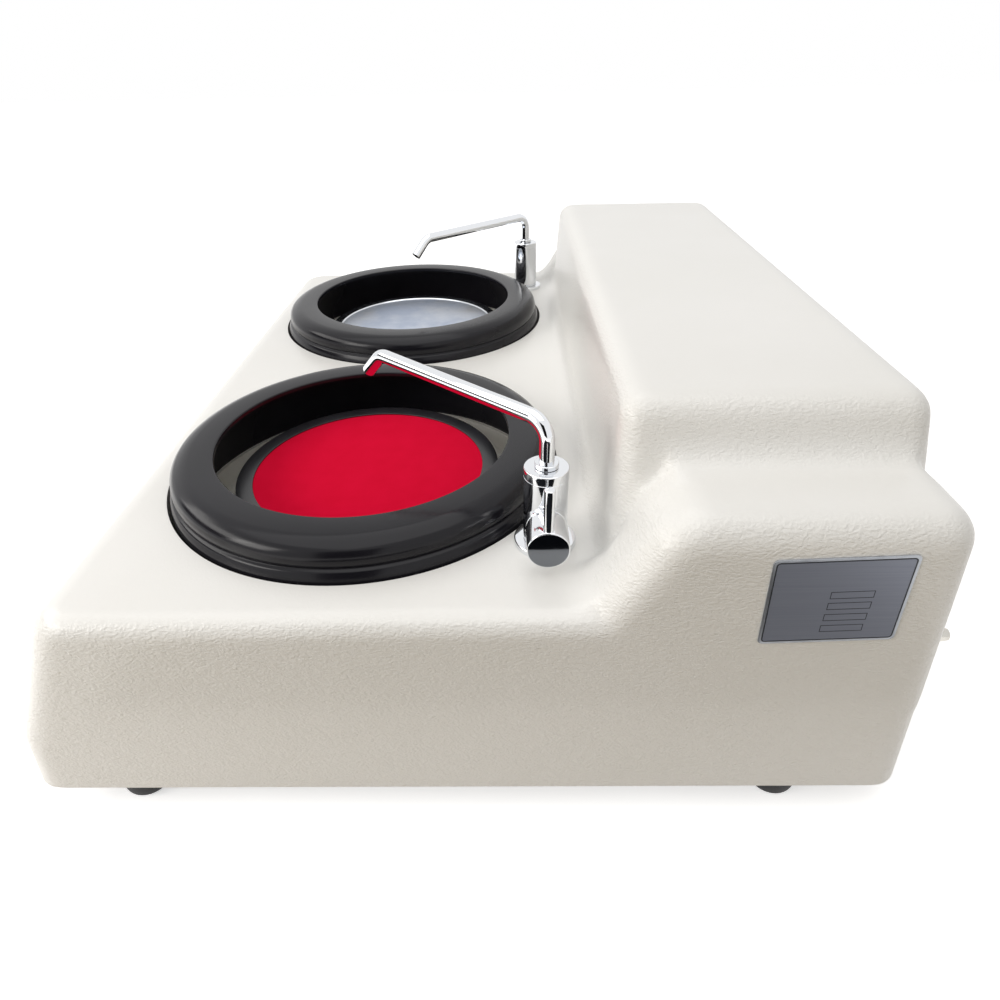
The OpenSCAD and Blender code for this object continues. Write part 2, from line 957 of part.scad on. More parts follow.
module bearing_balls() {
  color("#d4d7db")
    bearing_places([-1, 1])
      for (i = [0 : ball_count - 1])
        rotate([0, 0, 360 * i / ball_count])
          translate([ball_path_r, 0, bearing_w / 2])
            sphere(r = ball_r, $fn = 24);
}

module motor_housing() {
  in_r = motor_r - motor_wall;
  color("#3f5a73")
    translate([0, motor_y, plate_top_z])
      difference() {
        union() {
          cylinder(r = motor_r, h = motor_h);
          cylinder(r = motor_flange_r, h = motor_end_t);
          for (i = [0 : rib_count - 1])
            rotate([0, 0, 360 * (i + 1 / 2) / rib_count])
              translate([motor_r - rib_t, -rib_t / 2, motor_end_t])
                cube([rib_h + rib_t, rib_t, motor_h - 2 * motor_end_t]);
        }
        translate([0, 0, motor_end_t])
          cylinder(r = in_r, h = motor_h - 2 * motor_end_t);
        translate([0, 0, -cut])
          cylinder(r = motor_shaft_r + run_gap, h = motor_h + 2 * cut);
      }
}

module motor_stator() {
  color("#b9722f")
    translate([0, motor_y, plate_top_z + rotor_low])
      difference() {
        cylinder(r = motor_r - motor_wall - fit_gap, h = rotor_h);
        translate([0, 0, -cut])
          cylinder(r = rotor_r + rotor_gap, h = rotor_h + 2 * cut);
      }
}

module motor_rotor() {
  color("#9a9da2")
    translate([0, motor_y, 0]) {
      translate([0, 0, motor_shaft_low_z])
        cylinder(r = motor_shaft_r, h = motor_top_z + fan_gap + fan_h - motor_shaft_low_z);
      translate([0, 0, plate_top_z + rotor_low])
        cylinder(r = rotor_r, h = rotor_h);
    }
}

module motor_pulley() {
  low_z = belt_right_z - pulley_w / 2;
  color("#6b6e72")
    translate([0, motor_y, 0])
      difference() {
        translate([0, 0, low_z])
          cylinder(r = motor_pulley_r + rim_above, h = belt_left_z - belt_right_z + pulley_w);
        groove(motor_pulley_r, belt_right_z);
        groove(motor_pulley_r, belt_left_z);
        translate([0, 0, low_z - cut])
          cylinder(r = motor_shaft_r + fit_gap, h = 4 * pulley_w);
      }
}

module motor_fan() {
  color("#33363a")
    translate([0, motor_y, motor_top_z + fan_gap])
      difference() {
        union() {
          cylinder(r = fan_hub_r, h = fan_h);
          cylinder(r = fan_r, h = fan_blade_t);
          for (i = [0 : fan_blades - 1])
            rotate([0, 0, 360 * i / fan_blades])
              translate([fan_hub_r - fan_blade_t / 2, -fan_blade_t / 2, fan_blade_t / 2])
                cube([fan_r - fan_blade_t / 2 - fan_hub_r, fan_blade_t, fan_h - fan_blade_t]);
        }
        translate([0, 0, -cut])
          cylinder(r = motor_shaft_r + fit_gap, h = fan_h + 2 * cut);
      }
}

module motor_fan_cover() {
  in_h = fan_gap + fan_h + cover_gap;
  color("#3f5a73")
    translate([0, motor_y, motor_top_z])
      difference() {
        cylinder(r = motor_r, h = in_h + cover_t);
        translate([0, 0, -cut])
          cylinder(r = motor_r - cover_t, h = in_h + cut);
        for (i = [0 : vent_count - 1])
          rotate([0, 0, 360 * i / vent_count])
            translate([vent_out, 0, in_h - cut])
              cylinder(r = vent_r, h = cover_t + 2 * cut, $fn = 24);
      }
}

module motor_terminal_box() {
  color("#2f3a45")
    difference() {
      translate([motor_r, motor_y - terminal_w / 2, plate_top_z + terminal_rise])
        cube([terminal_d + rib_h, terminal_w, terminal_h]);
      translate([0, motor_y, plate_top_z])
        cylinder(r = motor_r + rib_h + free_gap, h = motor_h);
    }
}

module v_belt(side, pitch_r, z) {
  // Belt from the motor pulley to a spindle pulley
  run = [side * disc_x, disc_y - motor_y];
  d = norm(run);
  spread = asin((pitch_r - motor_pulley_r) / d);
  section = [
    [-belt_below, -belt_half_low], [belt_above, -belt_half_top],
    [belt_above, belt_half_top], [-belt_below, belt_half_low]
  ];
  color("#232326")
    translate([0, motor_y, z])
      rotate([0, 0, atan2(run[1], run[0])]) {
        rotate([0, 0, 90 + spread])
          rotate_extrude(angle = 180 - 2 * spread)
            polygon([for (p = section) [p[0] + motor_pulley_r, p[1]]]);
        translate([d, 0, 0])
          rotate([0, 0, -90 - spread])
            rotate_extrude(angle = 180 + 2 * spread)
              polygon([for (p = section) [p[0] + pitch_r, p[1]]]);
        for (flip = [0, 1])
          mirror([0, flip, 0])
            rotate([0, 0, spread])
              translate([-join, 0, 0])
                rotate([90, 0, 90])
                  linear_extrude(d * cos(spread) + 2 * join)
                    polygon([for (p = section) [p[0] + motor_pulley_r, p[1]]]);
      }
}

module belt_left() v_belt(-1, left_pulley_r, belt_left_z);
module belt_right() v_belt(1, right_pulley_r, belt_right_z);

module handed(side) {
  // Right-hand pieces as drawn, left-hand ones mirrored
  mirror([side < 0 ? 1 : 0, 0, 0])
    translate([tap_x, tap_y, 0])
      children();
}

module tap_flanges() {
  color("#d8dadd")
    for (side = [-1, 1])
      handed(side)
        difference() {
          union() {
            translate([0, 0, deck_z])
              cylinder(r = flange_r, h = flange_t - cut);
            translate([0, 0, deck_z + flange_t - cut])
              cylinder(r1 = flange_r, r2 = flange_r - cut, h = cut);
          }
          translate([0, 0, deck_z - cut])
            cylinder(r = tail_r + free_gap, h = flange_t + 2 * cut);
        }
}

module tap_body(side) {
  base = deck_z + flange_t;
  color("#d8dadd")
    handed(side)
      difference() {
        union() {
          translate([0, 0, base])
            cylinder(r = post_r, h = post_top_z - base - post_chamfer);
          translate([0, 0, post_top_z - post_chamfer])
            cylinder(r1 = post_r, r2 = post_r - post_chamfer, h = post_chamfer);
          translate([0, 0, valve_z])
            rotate([0, 90, 0])
              cylinder(r = neck_r, h = neck_len);
          translate([0, 0, tail_low_z + nipple_h])
            cylinder(r = tail_r, h = base - tail_low_z - nipple_h);
          translate([0, 0, tail_low_z])
            cylinder(r = nipple_r, h = nipple_h);
        }
        translate([0, 0, post_top_z - spigot_depth - cut])
          cylinder(r = spout_r + run_gap, h = spigot_depth + 2 * cut);
        translate([0, 0, tail_low_z - cut])
          cylinder(r = nipple_bore_r, h = post_top_z - tail_low_z - spigot_depth);
        translate([-stem_past - free_gap, 0, valve_z])
          rotate([0, 90, 0])
            cylinder(r = stem_r + run_gap, h = stem_past + free_gap + neck_len + cut);
      }
}

module tap_body_left() tap_body(-1);
module tap_body_right() tap_body(1);

function arc(c, r, from, to) = [
  for (i = [0 : arc_steps]) let (a = from + (to - from) * i / arc_steps) c + r * [cos(a), 0, sin(a)]
];

module tap_spout(side) {
  // Riser that turns in the post, level run and nozzle
  level_z = deck_z + spout_rise;
  low_z = post_top_z - spigot_depth;
  collar_z = post_top_z + free_gap;
  start_z = collar_z + spout_collar_h / 3;
  half_bend = nozzle_bend_r * tan(nozzle_drop / 2);
  tip = nozzle_len * [cos(nozzle_drop), 0, -sin(nozzle_drop)];
  path = concat(
    [[0, 0, start_z]],
    arc([spout_bend_r, 0, level_z - spout_bend_r], spout_bend_r, 180, 90),
    arc([spout_run - half_bend, 0, level_z - nozzle_bend_r], nozzle_bend_r, 90, 90 - nozzle_drop),
    [[spout_run, 0, level_z] + tip]
  );
  color("#d8dadd")
    handed(side)
      rotate([0, 0, spout_turn])
        difference() {
          union() {
            sweep_tube(path, spout_r - fit_gap, spout_sides, [0, 1, 0]);
            translate([0, 0, low_z])
              cylinder(r = spout_r, h = collar_z + spout_collar_h / 2 - low_z);
            translate([0, 0, collar_z])
              cylinder(r = spout_collar_r, h = spout_collar_h);
          }
          sweep_tube(overrun(path), spout_bore_r - join, spout_sides, [0, 1, 0]);
          translate([0, 0, low_z - cut])
            cylinder(r = spout_bore_r, h = start_z + cut - low_z);
        }
}

module tap_spout_left() tap_spout(-1);
module tap_spout_right() tap_spout(1);

module tap_knob(side) {
  color("#d8dadd")
    handed(side)
      difference() {
        union() {
          translate([neck_len + free_gap, 0, valve_z])
            rotate([0, 90, 0])
              cylinder(r = neck_r, h = knob_len);
          translate([-stem_past, 0, valve_z])
            rotate([0, 90, 0])
              cylinder(r = stem_r, h = stem_past + neck_len + 2 * free_gap);
        }
        lever_bore(lever_r + fit_gap);
        translate([0, 0, valve_z])
          cylinder(r = nipple_bore_r, h = 2 * (stem_r + cut), center = true);
      }
}

module lever_bore(r) {
  translate([neck_len + knob_len - lever_in, 0, valve_z + lever_seat])
    cylinder(r = r, h = neck_r);
}

module tap_knob_left() tap_knob(-1);
module tap_knob_right() tap_knob(1);

module tap_lever(side) {
  color("#d8dadd")
    handed(side)
      translate([neck_len + knob_len - lever_in, 0, valve_z + lever_seat]) {
        cylinder(r = lever_r, h = lever_top - lever_seat - post_chamfer);
        translate([0, 0, lever_top - lever_seat - post_chamfer])
          cylinder(r1 = lever_r, r2 = lever_r - post_chamfer, h = post_chamfer);
      }
}

module tap_lever_left() tap_lever(-1);
module tap_lever_right() tap_lever(1);

module tap_nuts() {
  color("#c2a35a")
    for (side = [-1, 1])
      handed(side)
        translate([0, 0, deck_under_z - tap_nut_t])
          difference() {
            cylinder(r = tap_nut_r, h = tap_nut_t, $fn = 6);
            translate([0, 0, -cut])
              cylinder(r = tail_r + fit_gap, h = tap_nut_t + 2 * cut);
          }
}

module rear_fitting(x, z, r, bore_r, pad_r, reach) {
  // Spigot clamped through the rear wall, with its hose tail inside
  face_y = rear_line(z - pad_r);
  inner_y = rear_line(z + pad_r) - wall;
  tail_y = inner_y - fitting_nut_t - fitting_tail;
  translate([x, 0, z])
    difference() {
      union() {
        translate([0, tail_y, 0])
          rotate([-90, 0, 0])
            cylinder(r = r, h = face_y + reach - tail_y);
        translate([0, face_y, 0])
          rotate([-90, 0, 0])
            cylinder(r = pad_r - pad_margin, h = fitting_flange_t);
        translate([0, inner_y - fitting_nut_t, 0])
          rotate([-90, 0, 0])
            cylinder(r = pad_r - pad_margin, h = fitting_nut_t, $fn = 6);
      }
      translate([0, tail_y - cut, 0])
        rotate([-90, 0, 0])
          cylinder(r = bore_r, h = face_y + reach - tail_y + 2 * cut);
    }
}

module water_inlet(side) {
  color("#c7cacd")
    rear_fitting(side * inlet_x, inlet_z, nipple_r, nipple_bore_r, inlet_pad_r, inlet_reach);
}

module water_inlet_left() water_inlet(-1);
module water_inlet_right() water_inlet(1);

module drain_outlets() {
  color("#9b9ea2")
    for (side = [-1, 1])
      rear_fitting(side * outlet_x, outlet_z, outlet_r, outlet_bore_r, outlet_pad_r, outlet_reach);
}

// Hoses are swept along routes whose corners are rounded
hose_sides = 12;
hose_wall = 2;
hose_slack_share = 1.08;
bend_steps = 5;

function unit(v) = v / norm(v);
function bend(a, b, c, r) = [
  for (i = [0 : bend_steps])
    let (
      p = b + r * unit(a - b),
      q = b + r * unit(c - b),
      t = i / bend_steps
    )
      (1 - t) * (1 - t) * p + 2 * t * (1 - t) * b + t * t * q
];
function rounded_route(pts, r) = concat(
  [pts[0]],
  [for (i = [1 : len(pts) - 2]) each bend(pts[i - 1], pts[i], pts[i + 1], r)],
  [pts[len(pts) - 1]]
);
function heading(path, i) = unit(path[min(i + 1, len(path) - 1)] - path[max(i - 1, 0)]);

module sweep_tube(path, r, sides, across) {
  n = len(path);
  points = [
    for (i = [0 : n - 1])
      let (
        t = heading(path, i),
        u = unit(cross(across, t)),
        v = cross(t, u)
      )
        for (k = [0 : sides - 1])
          let (a = 360 * k / sides)
            path[i] + r * cos(a) * u + r * sin(a) * v
  ];
  faces = [
    for (i = [0 : n - 2])
      for (k = [0 : sides - 1])
        let (k2 = (k + 1) % sides)
          each [
            [i * sides + k, (i + 1) * sides + k, (i + 1) * sides + k2],
            [i * sides + k, (i + 1) * sides + k2, i * sides + k2]
          ]
  ];
  first_cap = [for (k = [0 : sides - 1]) k];
  last_cap = [for (k = [sides - 1 : -1 : 0]) (n - 1) * sides + k];
  polyhedron(points, concat(faces, [first_cap, last_cap]), convexity = 6);
}

function overrun(path) = concat(
  [path[0] - cut * heading(path, 0)], [for (i = [1 : len(path) - 2]) path[i]],
  [path[len(path) - 1] + cut * heading(path, len(path) - 1)]
);

module hose(route, bore_r, bend_r) {
  path = rounded_route(route, bend_r);
  difference() {
    sweep_tube(path, bore_r + hose_wall, hose_sides, [1, 0, 0]);
    sweep_tube(overrun(path), bore_r, hose_sides, [1, 0, 0]);
  }
}

water_bend_r = 22;
drain_bend_r = 26;
nipple_cover = 8;
hose_turn_y = 60;
hose_low = 32;

module water_hose(side) {
  start_y = rear_line(inlet_z + inlet_pad_r) - wall - fitting_nut_t - free_gap;
  top_z = tail_low_z + nipple_cover;
  color("#b8c4cc")
    hose(
      [
        [side * inlet_x, start_y, inlet_z], [side * inlet_x, start_y - hose_turn_y, inlet_z],
        [side * tap_x, tap_y + hose_turn_y, tail_low_z - hose_low],
        [side * tap_x, tap_y, tail_low_z - hose_low], [side * tap_x, tap_y, top_z]
      ],
      nipple_r * hose_slack_share, water_bend_r
    );
}

module water_hose_left() water_hose(-1);
module water_hose_right() water_hose(1);

module drain_hose(side) {
  x = side * (disc_x + drain_out * cos(drain_angle));
  y = disc_y + drain_out * sin(drain_angle);
  end_y = rear_line(outlet_z + outlet_pad_r) - wall - fitting_nut_t - free_gap;
  color("#8d9499")
    hose(
      [
        [x, y, bowl_floor_z - bowl_wall - free_gap], [x, y, outlet_z],
        [side * outlet_x, y + 2 * hose_turn_y, outlet_z], [side * outlet_x, end_y, outlet_z]
      ],
      outlet_r * hose_slack_share, drain_bend_r
    );
}

module drain_hose_left() drain_hose(-1);
module drain_hose_right() drain_hose(1);

module control_panel() {
  color("#b7bcc3")
    on_front(0)
      difference() {
        translate([0, -fit_gap, 0])
          rounded_plate(panel_w, panel_h, panel_t, panel_corner_r);
        for (x = [-button_x, button_x])
          translate([x, 0, 0])
            rotate([90, 0, 0])
              cylinder(r = button_r + button_gap, h = 2 * panel_t + cut, center = true);
      }
}

module push_button(x, shade) {
  color(shade)
    on_front(x)
      rotate([90, 0, 0]) {
        translate([0, 0, -wall])
          cylinder(r = button_r, h = wall + panel_t + button_out);
        translate([0, 0, -wall - contact_d / 2])
          cylinder(r = button_stem_r, h = contact_d / 2 + wall);
      }
}

module start_button() push_button(-button_x, "#2f8f4a");
module stop_button() push_button(button_x, "#c22b2b");

module contact_blocks() {
  depth = wall + button_travel + free_gap;
  color("#e2e2df")
    for (x = [-button_x, button_x])
      on_front(x)
        difference() {
          union() {
            translate([-contact_w / 2, depth, -contact_h / 2])
              cube([contact_w, contact_d, contact_h]);
            rotate([-90, 0, 0])
              difference() {
                cylinder(r = button_cut_r - free_gap, h = depth + cut);
                translate([0, 0, -cut])
                  cylinder(r = button_r + button_gap, h = depth + cut);
              }
          }
          rotate([-90, 0, 0])
            translate([0, 0, wall])
              cylinder(r = button_stem_r + free_gap, h = contact_d - wall);
        }
}

module nameplate() {
  color("#7f8796")
    translate([end_line(nameplate_z) + fit_gap, rear_y - nameplate_rear_in, nameplate_z])
      rotate([0, -end_draft, 0])
        rotate([nameplate_tilt, 0, 0])
          rotate([0, 0, 90])
            rounded_plate(nameplate_w, nameplate_h, nameplate_t, nameplate_corner_r);
}

module mains_inlet() {
  face_y = mains_face_y();
  color("#1f1f22")
    translate([mains_x, face_y, mains_z]) {
      difference() {
        union() {
          mirror([0, 1, 0])
            rounded_plate(mains_w, mains_h, mains_flange_t, mains_pad_margin);
          translate([-mains_body_w / 2, -mains_body_d, -mains_body_h / 2])
            cube([mains_body_w, mains_body_d + cut, mains_body_h]);
        }
        translate([-socket_w / 2, mains_flange_t - socket_d, -socket_h / 2])
          cube([socket_w, socket_d + cut, socket_h]);
      }
      for (i = [-1, 0, 1])
        translate([i * pin_pitch - pin_w / 2, mains_flange_t - socket_d - cut, -pin_h / 2])
          cube([pin_w, socket_d - cut, pin_h]);
    }
}

housing_shell();
base_plate();
foot_front_left();
foot_front_right();
foot_rear_left();
foot_rear_right();
base_fasteners();
frame_plate();
frame_posts();
bowl_left();
bowl_right();
splash_ring_left();
splash_ring_right();
platter_left();
platter_right();
polishing_cloth();
cloth_hoop();
spindle_left();
spindle_right();
pulley_left();
pulley_right();
bearing_housing_left();
bearing_housing_right();
bearing_outer_rings();
bearing_inner_rings_left();
bearing_inner_rings_right();
bearing_balls();
motor_housing();
motor_stator();
motor_rotor();
motor_pulley();
motor_fan();
motor_fan_cover();
motor_terminal_box();
belt_left();
belt_right();
tap_flanges();
tap_body_left();
tap_body_right();
tap_spout_left();
tap_spout_right();
tap_knob_left();
tap_knob_right();
tap_lever_left();
tap_lever_right();
tap_nuts();
water_inlet_left();
water_inlet_right();
water_hose_left();
water_hose_right();
drain_outlets();
drain_hose_left();
drain_hose_right();
control_panel();
start_button();
stop_button();
contact_blocks();
nameplate();
mains_inlet();
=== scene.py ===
import math

import bmesh
import bpy
from mathutils import Matrix, Vector


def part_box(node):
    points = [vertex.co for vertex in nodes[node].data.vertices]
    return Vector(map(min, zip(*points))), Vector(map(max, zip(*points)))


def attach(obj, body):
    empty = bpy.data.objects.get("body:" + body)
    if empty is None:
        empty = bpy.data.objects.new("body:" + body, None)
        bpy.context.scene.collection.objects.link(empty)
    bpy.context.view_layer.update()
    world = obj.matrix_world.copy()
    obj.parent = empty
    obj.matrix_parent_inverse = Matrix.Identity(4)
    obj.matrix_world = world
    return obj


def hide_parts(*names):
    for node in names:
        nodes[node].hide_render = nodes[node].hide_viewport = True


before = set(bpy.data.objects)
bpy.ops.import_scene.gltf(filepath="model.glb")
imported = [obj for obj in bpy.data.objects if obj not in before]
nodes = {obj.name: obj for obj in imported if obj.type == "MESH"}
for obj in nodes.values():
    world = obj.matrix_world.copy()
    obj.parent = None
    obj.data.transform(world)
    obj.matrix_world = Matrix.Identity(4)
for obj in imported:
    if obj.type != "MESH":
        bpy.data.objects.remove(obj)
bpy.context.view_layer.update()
mm = 0.001

# Moulded body
# One glass-fibre moulding with an off-white gelcoat face: skirt, sloping front, deck, end ramps,
# end shelves and the raised housing at the back. It is laid up in a female mould, so every edge
# and inner corner is generously rounded, and it drops over the base plate as one open shell.
foot_line = 26
skirt_top = 70
deck_z = 176
shelf_z = 242
body_top = 278
front_y, rear_y = -310.6, 289.4
ramp_y, riser_y = 70.4, 84.4
body_half, housing_half = 350, 283
skirt_run, slope_run, rear_run = 6, 48, 22
end_lean = math.radians(1.5)
ramp_slope = math.tan(math.radians(31))
riser_slope = math.tan(math.radians(2.2))
housing_slope = math.tan(math.radians(15.5))
wall = 5


def rear_line(z):
    """Y of the rear wall's face at height z; the functions after it say the same of the others."""
    return rear_y - rear_run * (z - foot_line) / (body_top - foot_line)


def front_line(z):
    if z <= skirt_top:
        return front_y + skirt_run * (z - foot_line) / (skirt_top - foot_line)
    return front_y + skirt_run + slope_run * (z - skirt_top) / (deck_z - skirt_top)


def end_line(z):
    return body_half - (z - foot_line) * math.tan(end_lean)


def ramp_line(z):
    return ramp_y + (z - deck_z) * ramp_slope


def riser_line(z):
    return riser_y + (z - deck_z) * riser_slope


def housing_line(z):
    return housing_half - (z - shelf_z) * housing_slope


def leave_all():
    """Goes to object mode with nothing picked."""
    if bpy.context.mode != "OBJECT":
        bpy.ops.object.mode_set(mode="OBJECT")
    bpy.ops.object.select_all(action="DESELECT")


def only(obj):
    """Picks obj alone and makes it the active one."""
    leave_all()
    obj.select_set(True)
    bpy.context.view_layer.objects.active = obj


def pick(obj, kind, test):
    """Selects only the vertices, edges or faces of obj, in edit mode, that pass the test."""
    bpy.ops.mesh.select_mode(type=kind)
    bpy.ops.mesh.select_all(action="DESELECT")
    bm = bmesh.from_edit_mesh(obj.data)
    group = {"VERT": bm.verts, "EDGE": bm.edges, "FACE": bm.faces}[kind]
    for part in group:
        if kind == "VERT":
            part.select_set(test(part.co / mm))
        elif kind == "EDGE":
            part.select_set(test(part.verts[0].co / mm, part.verts[1].co / mm))
        else:
            part.select_set(test(part.calc_center_median() / mm, part.normal))
    bmesh.update_edit_mesh(obj.data)


def close_up(gap=0):
    """Welds points closer than gap, turns the faces outward and leaves edit mode."""
    bpy.ops.mesh.select_all(action="SELECT")
    if gap:
        bpy.ops.mesh.remove_doubles(threshold=gap * mm)
    bpy.ops.mesh.normals_make_consistent(inside=False)
    bpy.ops.object.mode_set(mode="OBJECT")


def start_block(name, z, x0, x1, y0, y1, depth=20):
    """A block with the given rectangle as its top at height z, in edit mode with its top picked."""
    leave_all()
    bpy.ops.mesh.primitive_cube_add(size=1, location=(0, 0, 0))
    obj = bpy.context.object
    obj.name = name
    bpy.ops.object.mode_set(mode="EDIT")
    bpy.ops.transform.resize(value=((x1 - x0) * mm, (y1 - y0) * mm, depth * mm))
    middle = ((x0 + x1) / 2 * mm, (y0 + y1) / 2 * mm, (z - depth / 2) * mm)
    bpy.ops.transform.translate(value=middle)
    pick(obj, "FACE", lambda c, n: n.z > 0.9)
    return obj


def raise_top(old, z, x0, x1, y0, y1):
    """Extrudes the picked top face, now at old, up to height z and fits it to the rectangle."""
    oz, ox0, ox1, oy0, oy1 = old
    bpy.ops.mesh.extrude_region_move(TRANSFORM_OT_translate={"value": (0, 0, (z - oz) * mm)})
    centre = ((ox0 + ox1) / 2 * mm, (oy0 + oy1) / 2 * mm, z * mm)
    size = ((x1 - x0) / (ox1 - ox0), (y1 - y0) / (oy1 - oy0), 1)
    bpy.ops.transform.resize(value=size, center_override=centre)
    move = ((x0 + x1 - ox0 - ox1) / 2 * mm, (y0 + y1 - oy0 - oy1) / 2 * mm, 0)
    bpy.ops.transform.translate(value=move)
    return z, x0, x1, y0, y1


def tapered_block(name, levels, corner_r, edge_r):
    """A block through the given levels with its upright corners and its top edges rounded."""
    obj = start_block(name, *levels[0])
    old = levels[0]
    for level in levels[1:]:
        old = raise_top(old, *level)
    top = levels[-1][0]
    pick(obj, "EDGE", lambda a, b: abs(a.z - b.z) > 5)
    bpy.ops.mesh.bevel(offset=corner_r * mm, segments=8, profile=0.5, affect="EDGES")
    pick(obj, "EDGE", lambda a, b: min(a.z, b.z) > top - 0.5)
    bpy.ops.mesh.bevel(offset=edge_r * mm, segments=6, profile=0.5, affect="EDGES")
    close_up(0.05)
    return obj


def deck_level(z):
    """The deck block's height and rectangle at z; the next two say the same of their blocks."""
    return z, -end_line(z), end_line(z), front_line(z), rear_line(z)


def shelf_level(z, side):
    inner, outer = side * (housing_line(z) - 8), side * end_line(z)
    return z, min(inner, outer), max(inner, outer), ramp_line(z), rear_line(z)


def housing_level(z):
    return z, -housing_line(z), housing_line(z), riser_line(z), rear_line(z)


def unit(v):
    return Vector(v).normalized()


def cove(start, end, wall_a, wall_b, r, sink=3):
    """A strip that fills the inner corner from start to end with a round of radius r. wall_a and
    wall_b point from the corner along the two faces, and the strip goes sink deep into them."""
    a, b = unit(wall_a), unit(wall_b)
    half = a.angle(b) / 2
    middle = (a + b).normalized()
    centre = middle * (r / math.sin(half))
    reach = r / math.tan(half)
    first, last = a * reach - centre, b * reach - centre
    turn = first.angle(last)
    axis = first.cross(last).normalized()
    points = [-middle * sink, a * reach - middle * sink]
    points += [centre + Matrix.Rotation(turn * i / 10, 3, axis) @ first for i in range(11)]
    points += [b * reach - middle * sink]
    leave_all()
    bpy.ops.mesh.primitive_circle_add(vertices=len(points), radius=0.01, fill_type="NGON")
    obj = bpy.context.object
    for v, p in zip(obj.data.vertices, points):
        v.co = (Vector(start) + p) * mm
    bpy.ops.object.mode_set(mode="EDIT")
    bpy.ops.mesh.select_all(action="SELECT")
    run = (Vector(end) - Vector(start)) * mm
    bpy.ops.mesh.extrude_region_move(TRANSFORM_OT_translate={"value": run})
    close_up()
    return obj


def modify(obj, kind, **settings):
    """Adds one modifier and applies it."""
    only(obj)
    mod = obj.modifiers.new(kind.lower(), kind)
    for key, value in settings.items():
        setattr(mod, key, value)
    bpy.ops.object.modifier_apply(modifier=mod.name)


def cut_below(z, fill):
    """Cuts away what the active mesh has below height z."""
    bpy.ops.object.mode_set(mode="EDIT")
    bpy.ops.mesh.select_all(action="SELECT")
    bpy.ops.mesh.bisect(
        plane_co=(0, 0, z * mm), plane_no=(0, 0, 1), clear_inner=True, use_fill=fill
    )
    bpy.ops.object.mode_set(mode="OBJECT")


levels = [deck_level(z) for z in (0, skirt_top, deck_z)]
body = tapered_block("body", levels, corner_r=22, edge_r=12)
sunk_z = 100
levels = [housing_level(z) for z in (sunk_z, body_top)]
blocks = [tapered_block("housing", levels, corner_r=15, edge_r=14)]
for side in (-1, 1):
    levels = [shelf_level(z, side) for z in (sunk_z, shelf_z)]
    blocks.append(tapered_block("shelf", levels, corner_r=20, edge_r=19))
riser_foot, ramp_foot = (riser_line(deck_z), deck_z), (ramp_line(deck_z), deck_z)
riser_up, ramp_up = (0, riser_slope, 1), (0, ramp_slope, 1)
x = housing_line(deck_z)
blocks.append(cove((-x, *riser_foot), (x, *riser_foot), (0, -1, 0), riser_up, r=18))
for side in (-1, 1):
    inner, outer = side * (x - 6), side * (end_line(deck_z) - 12)
    blocks.append(cove((inner, *ramp_foot), (outer, *ramp_foot), (0, -1, 0), ramp_up, r=25))
    shelf_x = side * housing_line(shelf_z)
    front_end = (shelf_x, ramp_line(shelf_z) + 6, shelf_z)
    rear_end = (shelf_x, rear_line(shelf_z) - 12, shelf_z)
    blocks.append(cove(front_end, rear_end, (side, 0, 0), (-side * housing_slope, 0, 1), r=20))
only(body)
for block in blocks:
    block.select_set(True)
bpy.ops.object.join()
voxel = 3.2
modify(body, "REMESH", mode="VOXEL", voxel_size=voxel * mm, adaptivity=0)
modify(body, "SMOOTH", factor=0.5, iterations=7)
cut_below(foot_line, False)
modify(body, "DECIMATE", ratio=0.36)
modify(body, "SOLIDIFY", thickness=wall * mm, offset=-1)
cut_below(foot_line + 0.02, True)


def rod(start, end, r, sides=64):
    """A round bar from start to end, closed at both ends."""
    start, end = Vector(start), Vector(end)
    run = end - start
    leave_all()
    turn = run.to_track_quat("Z", "Y").to_euler()
    bpy.ops.mesh.primitive_cylinder_add(
        vertices=sides, radius=r * mm, depth=run.length * mm,
        location=(start + end) / 2 * mm, rotation=turn,
    )
    obj = bpy.context.object
    bpy.ops.object.transform_apply(location=True, rotation=True, scale=True)
    return obj


def brick(middle, size, turn=0):
    """A box about its middle, turned about the upright."""
    leave_all()
    bpy.ops.mesh.primitive_cube_add(size=1, location=Vector(middle) * mm)
    obj = bpy.context.object
    obj.scale = Vector(size) * mm
    obj.rotation_euler = (0, 0, turn)
    bpy.ops.object.transform_apply(location=True, rotation=True, scale=True)
    return obj


def join(first, *others):
    """Joins the other objects into the first."""
    only(first)
    for other in others:
        other.select_set(True)
    bpy.ops.object.join()
    return first


def cut(obj, cutter):
    """Takes the cutter's form out of obj, and the cutter away."""
    modify(obj, "BOOLEAN", object=cutter, operation="DIFFERENCE", solver="EXACT")
    bpy.data.objects.remove(cutter)


disc_x, disc_y = 165, -86.6
tap_x, tap_y = 270, 46.4
inlet_x, inlet_z = 300, 118
outlet_x, outlet_z = 265, 54
socket_x, socket_z = -120, 110
button_x, panel_z = 45, 122
front_lean = math.atan(slope_run / (deck_z - skirt_top))
panel_out = Vector((0, -math.cos(front_lean), math.sin(front_lean)))
through = 20 * panel_out
opening_r, tap_hole_r, inlet_hole_r, outlet_hole_r, button_hole_r = 147.5, 8.3, 5.3, 10.3, 15
holes = []
for side in (-1, 1):
    for x, y, r, sides in ((disc_x, disc_y, opening_r, 192), (tap_x, tap_y, tap_hole_r, 64)):
        holes.append(rod((side * x, y, deck_z - 16), (side * x, y, deck_z + 14), r, sides))
    for x, z, r in ((inlet_x, inlet_z, inlet_hole_r), (outlet_x, outlet_z, outlet_hole_r)):
        holes.append(rod((side * x, 240, z), (side * x, 300, z), r))
    button_seat = Vector((side * button_x, front_line(panel_z), panel_z))
    holes.append(rod(button_seat - through, button_seat + through, button_hole_r))
holes.append(brick((socket_x, 270, socket_z), (40.6, 60, 22.6)))
cut(body, join(*holes))


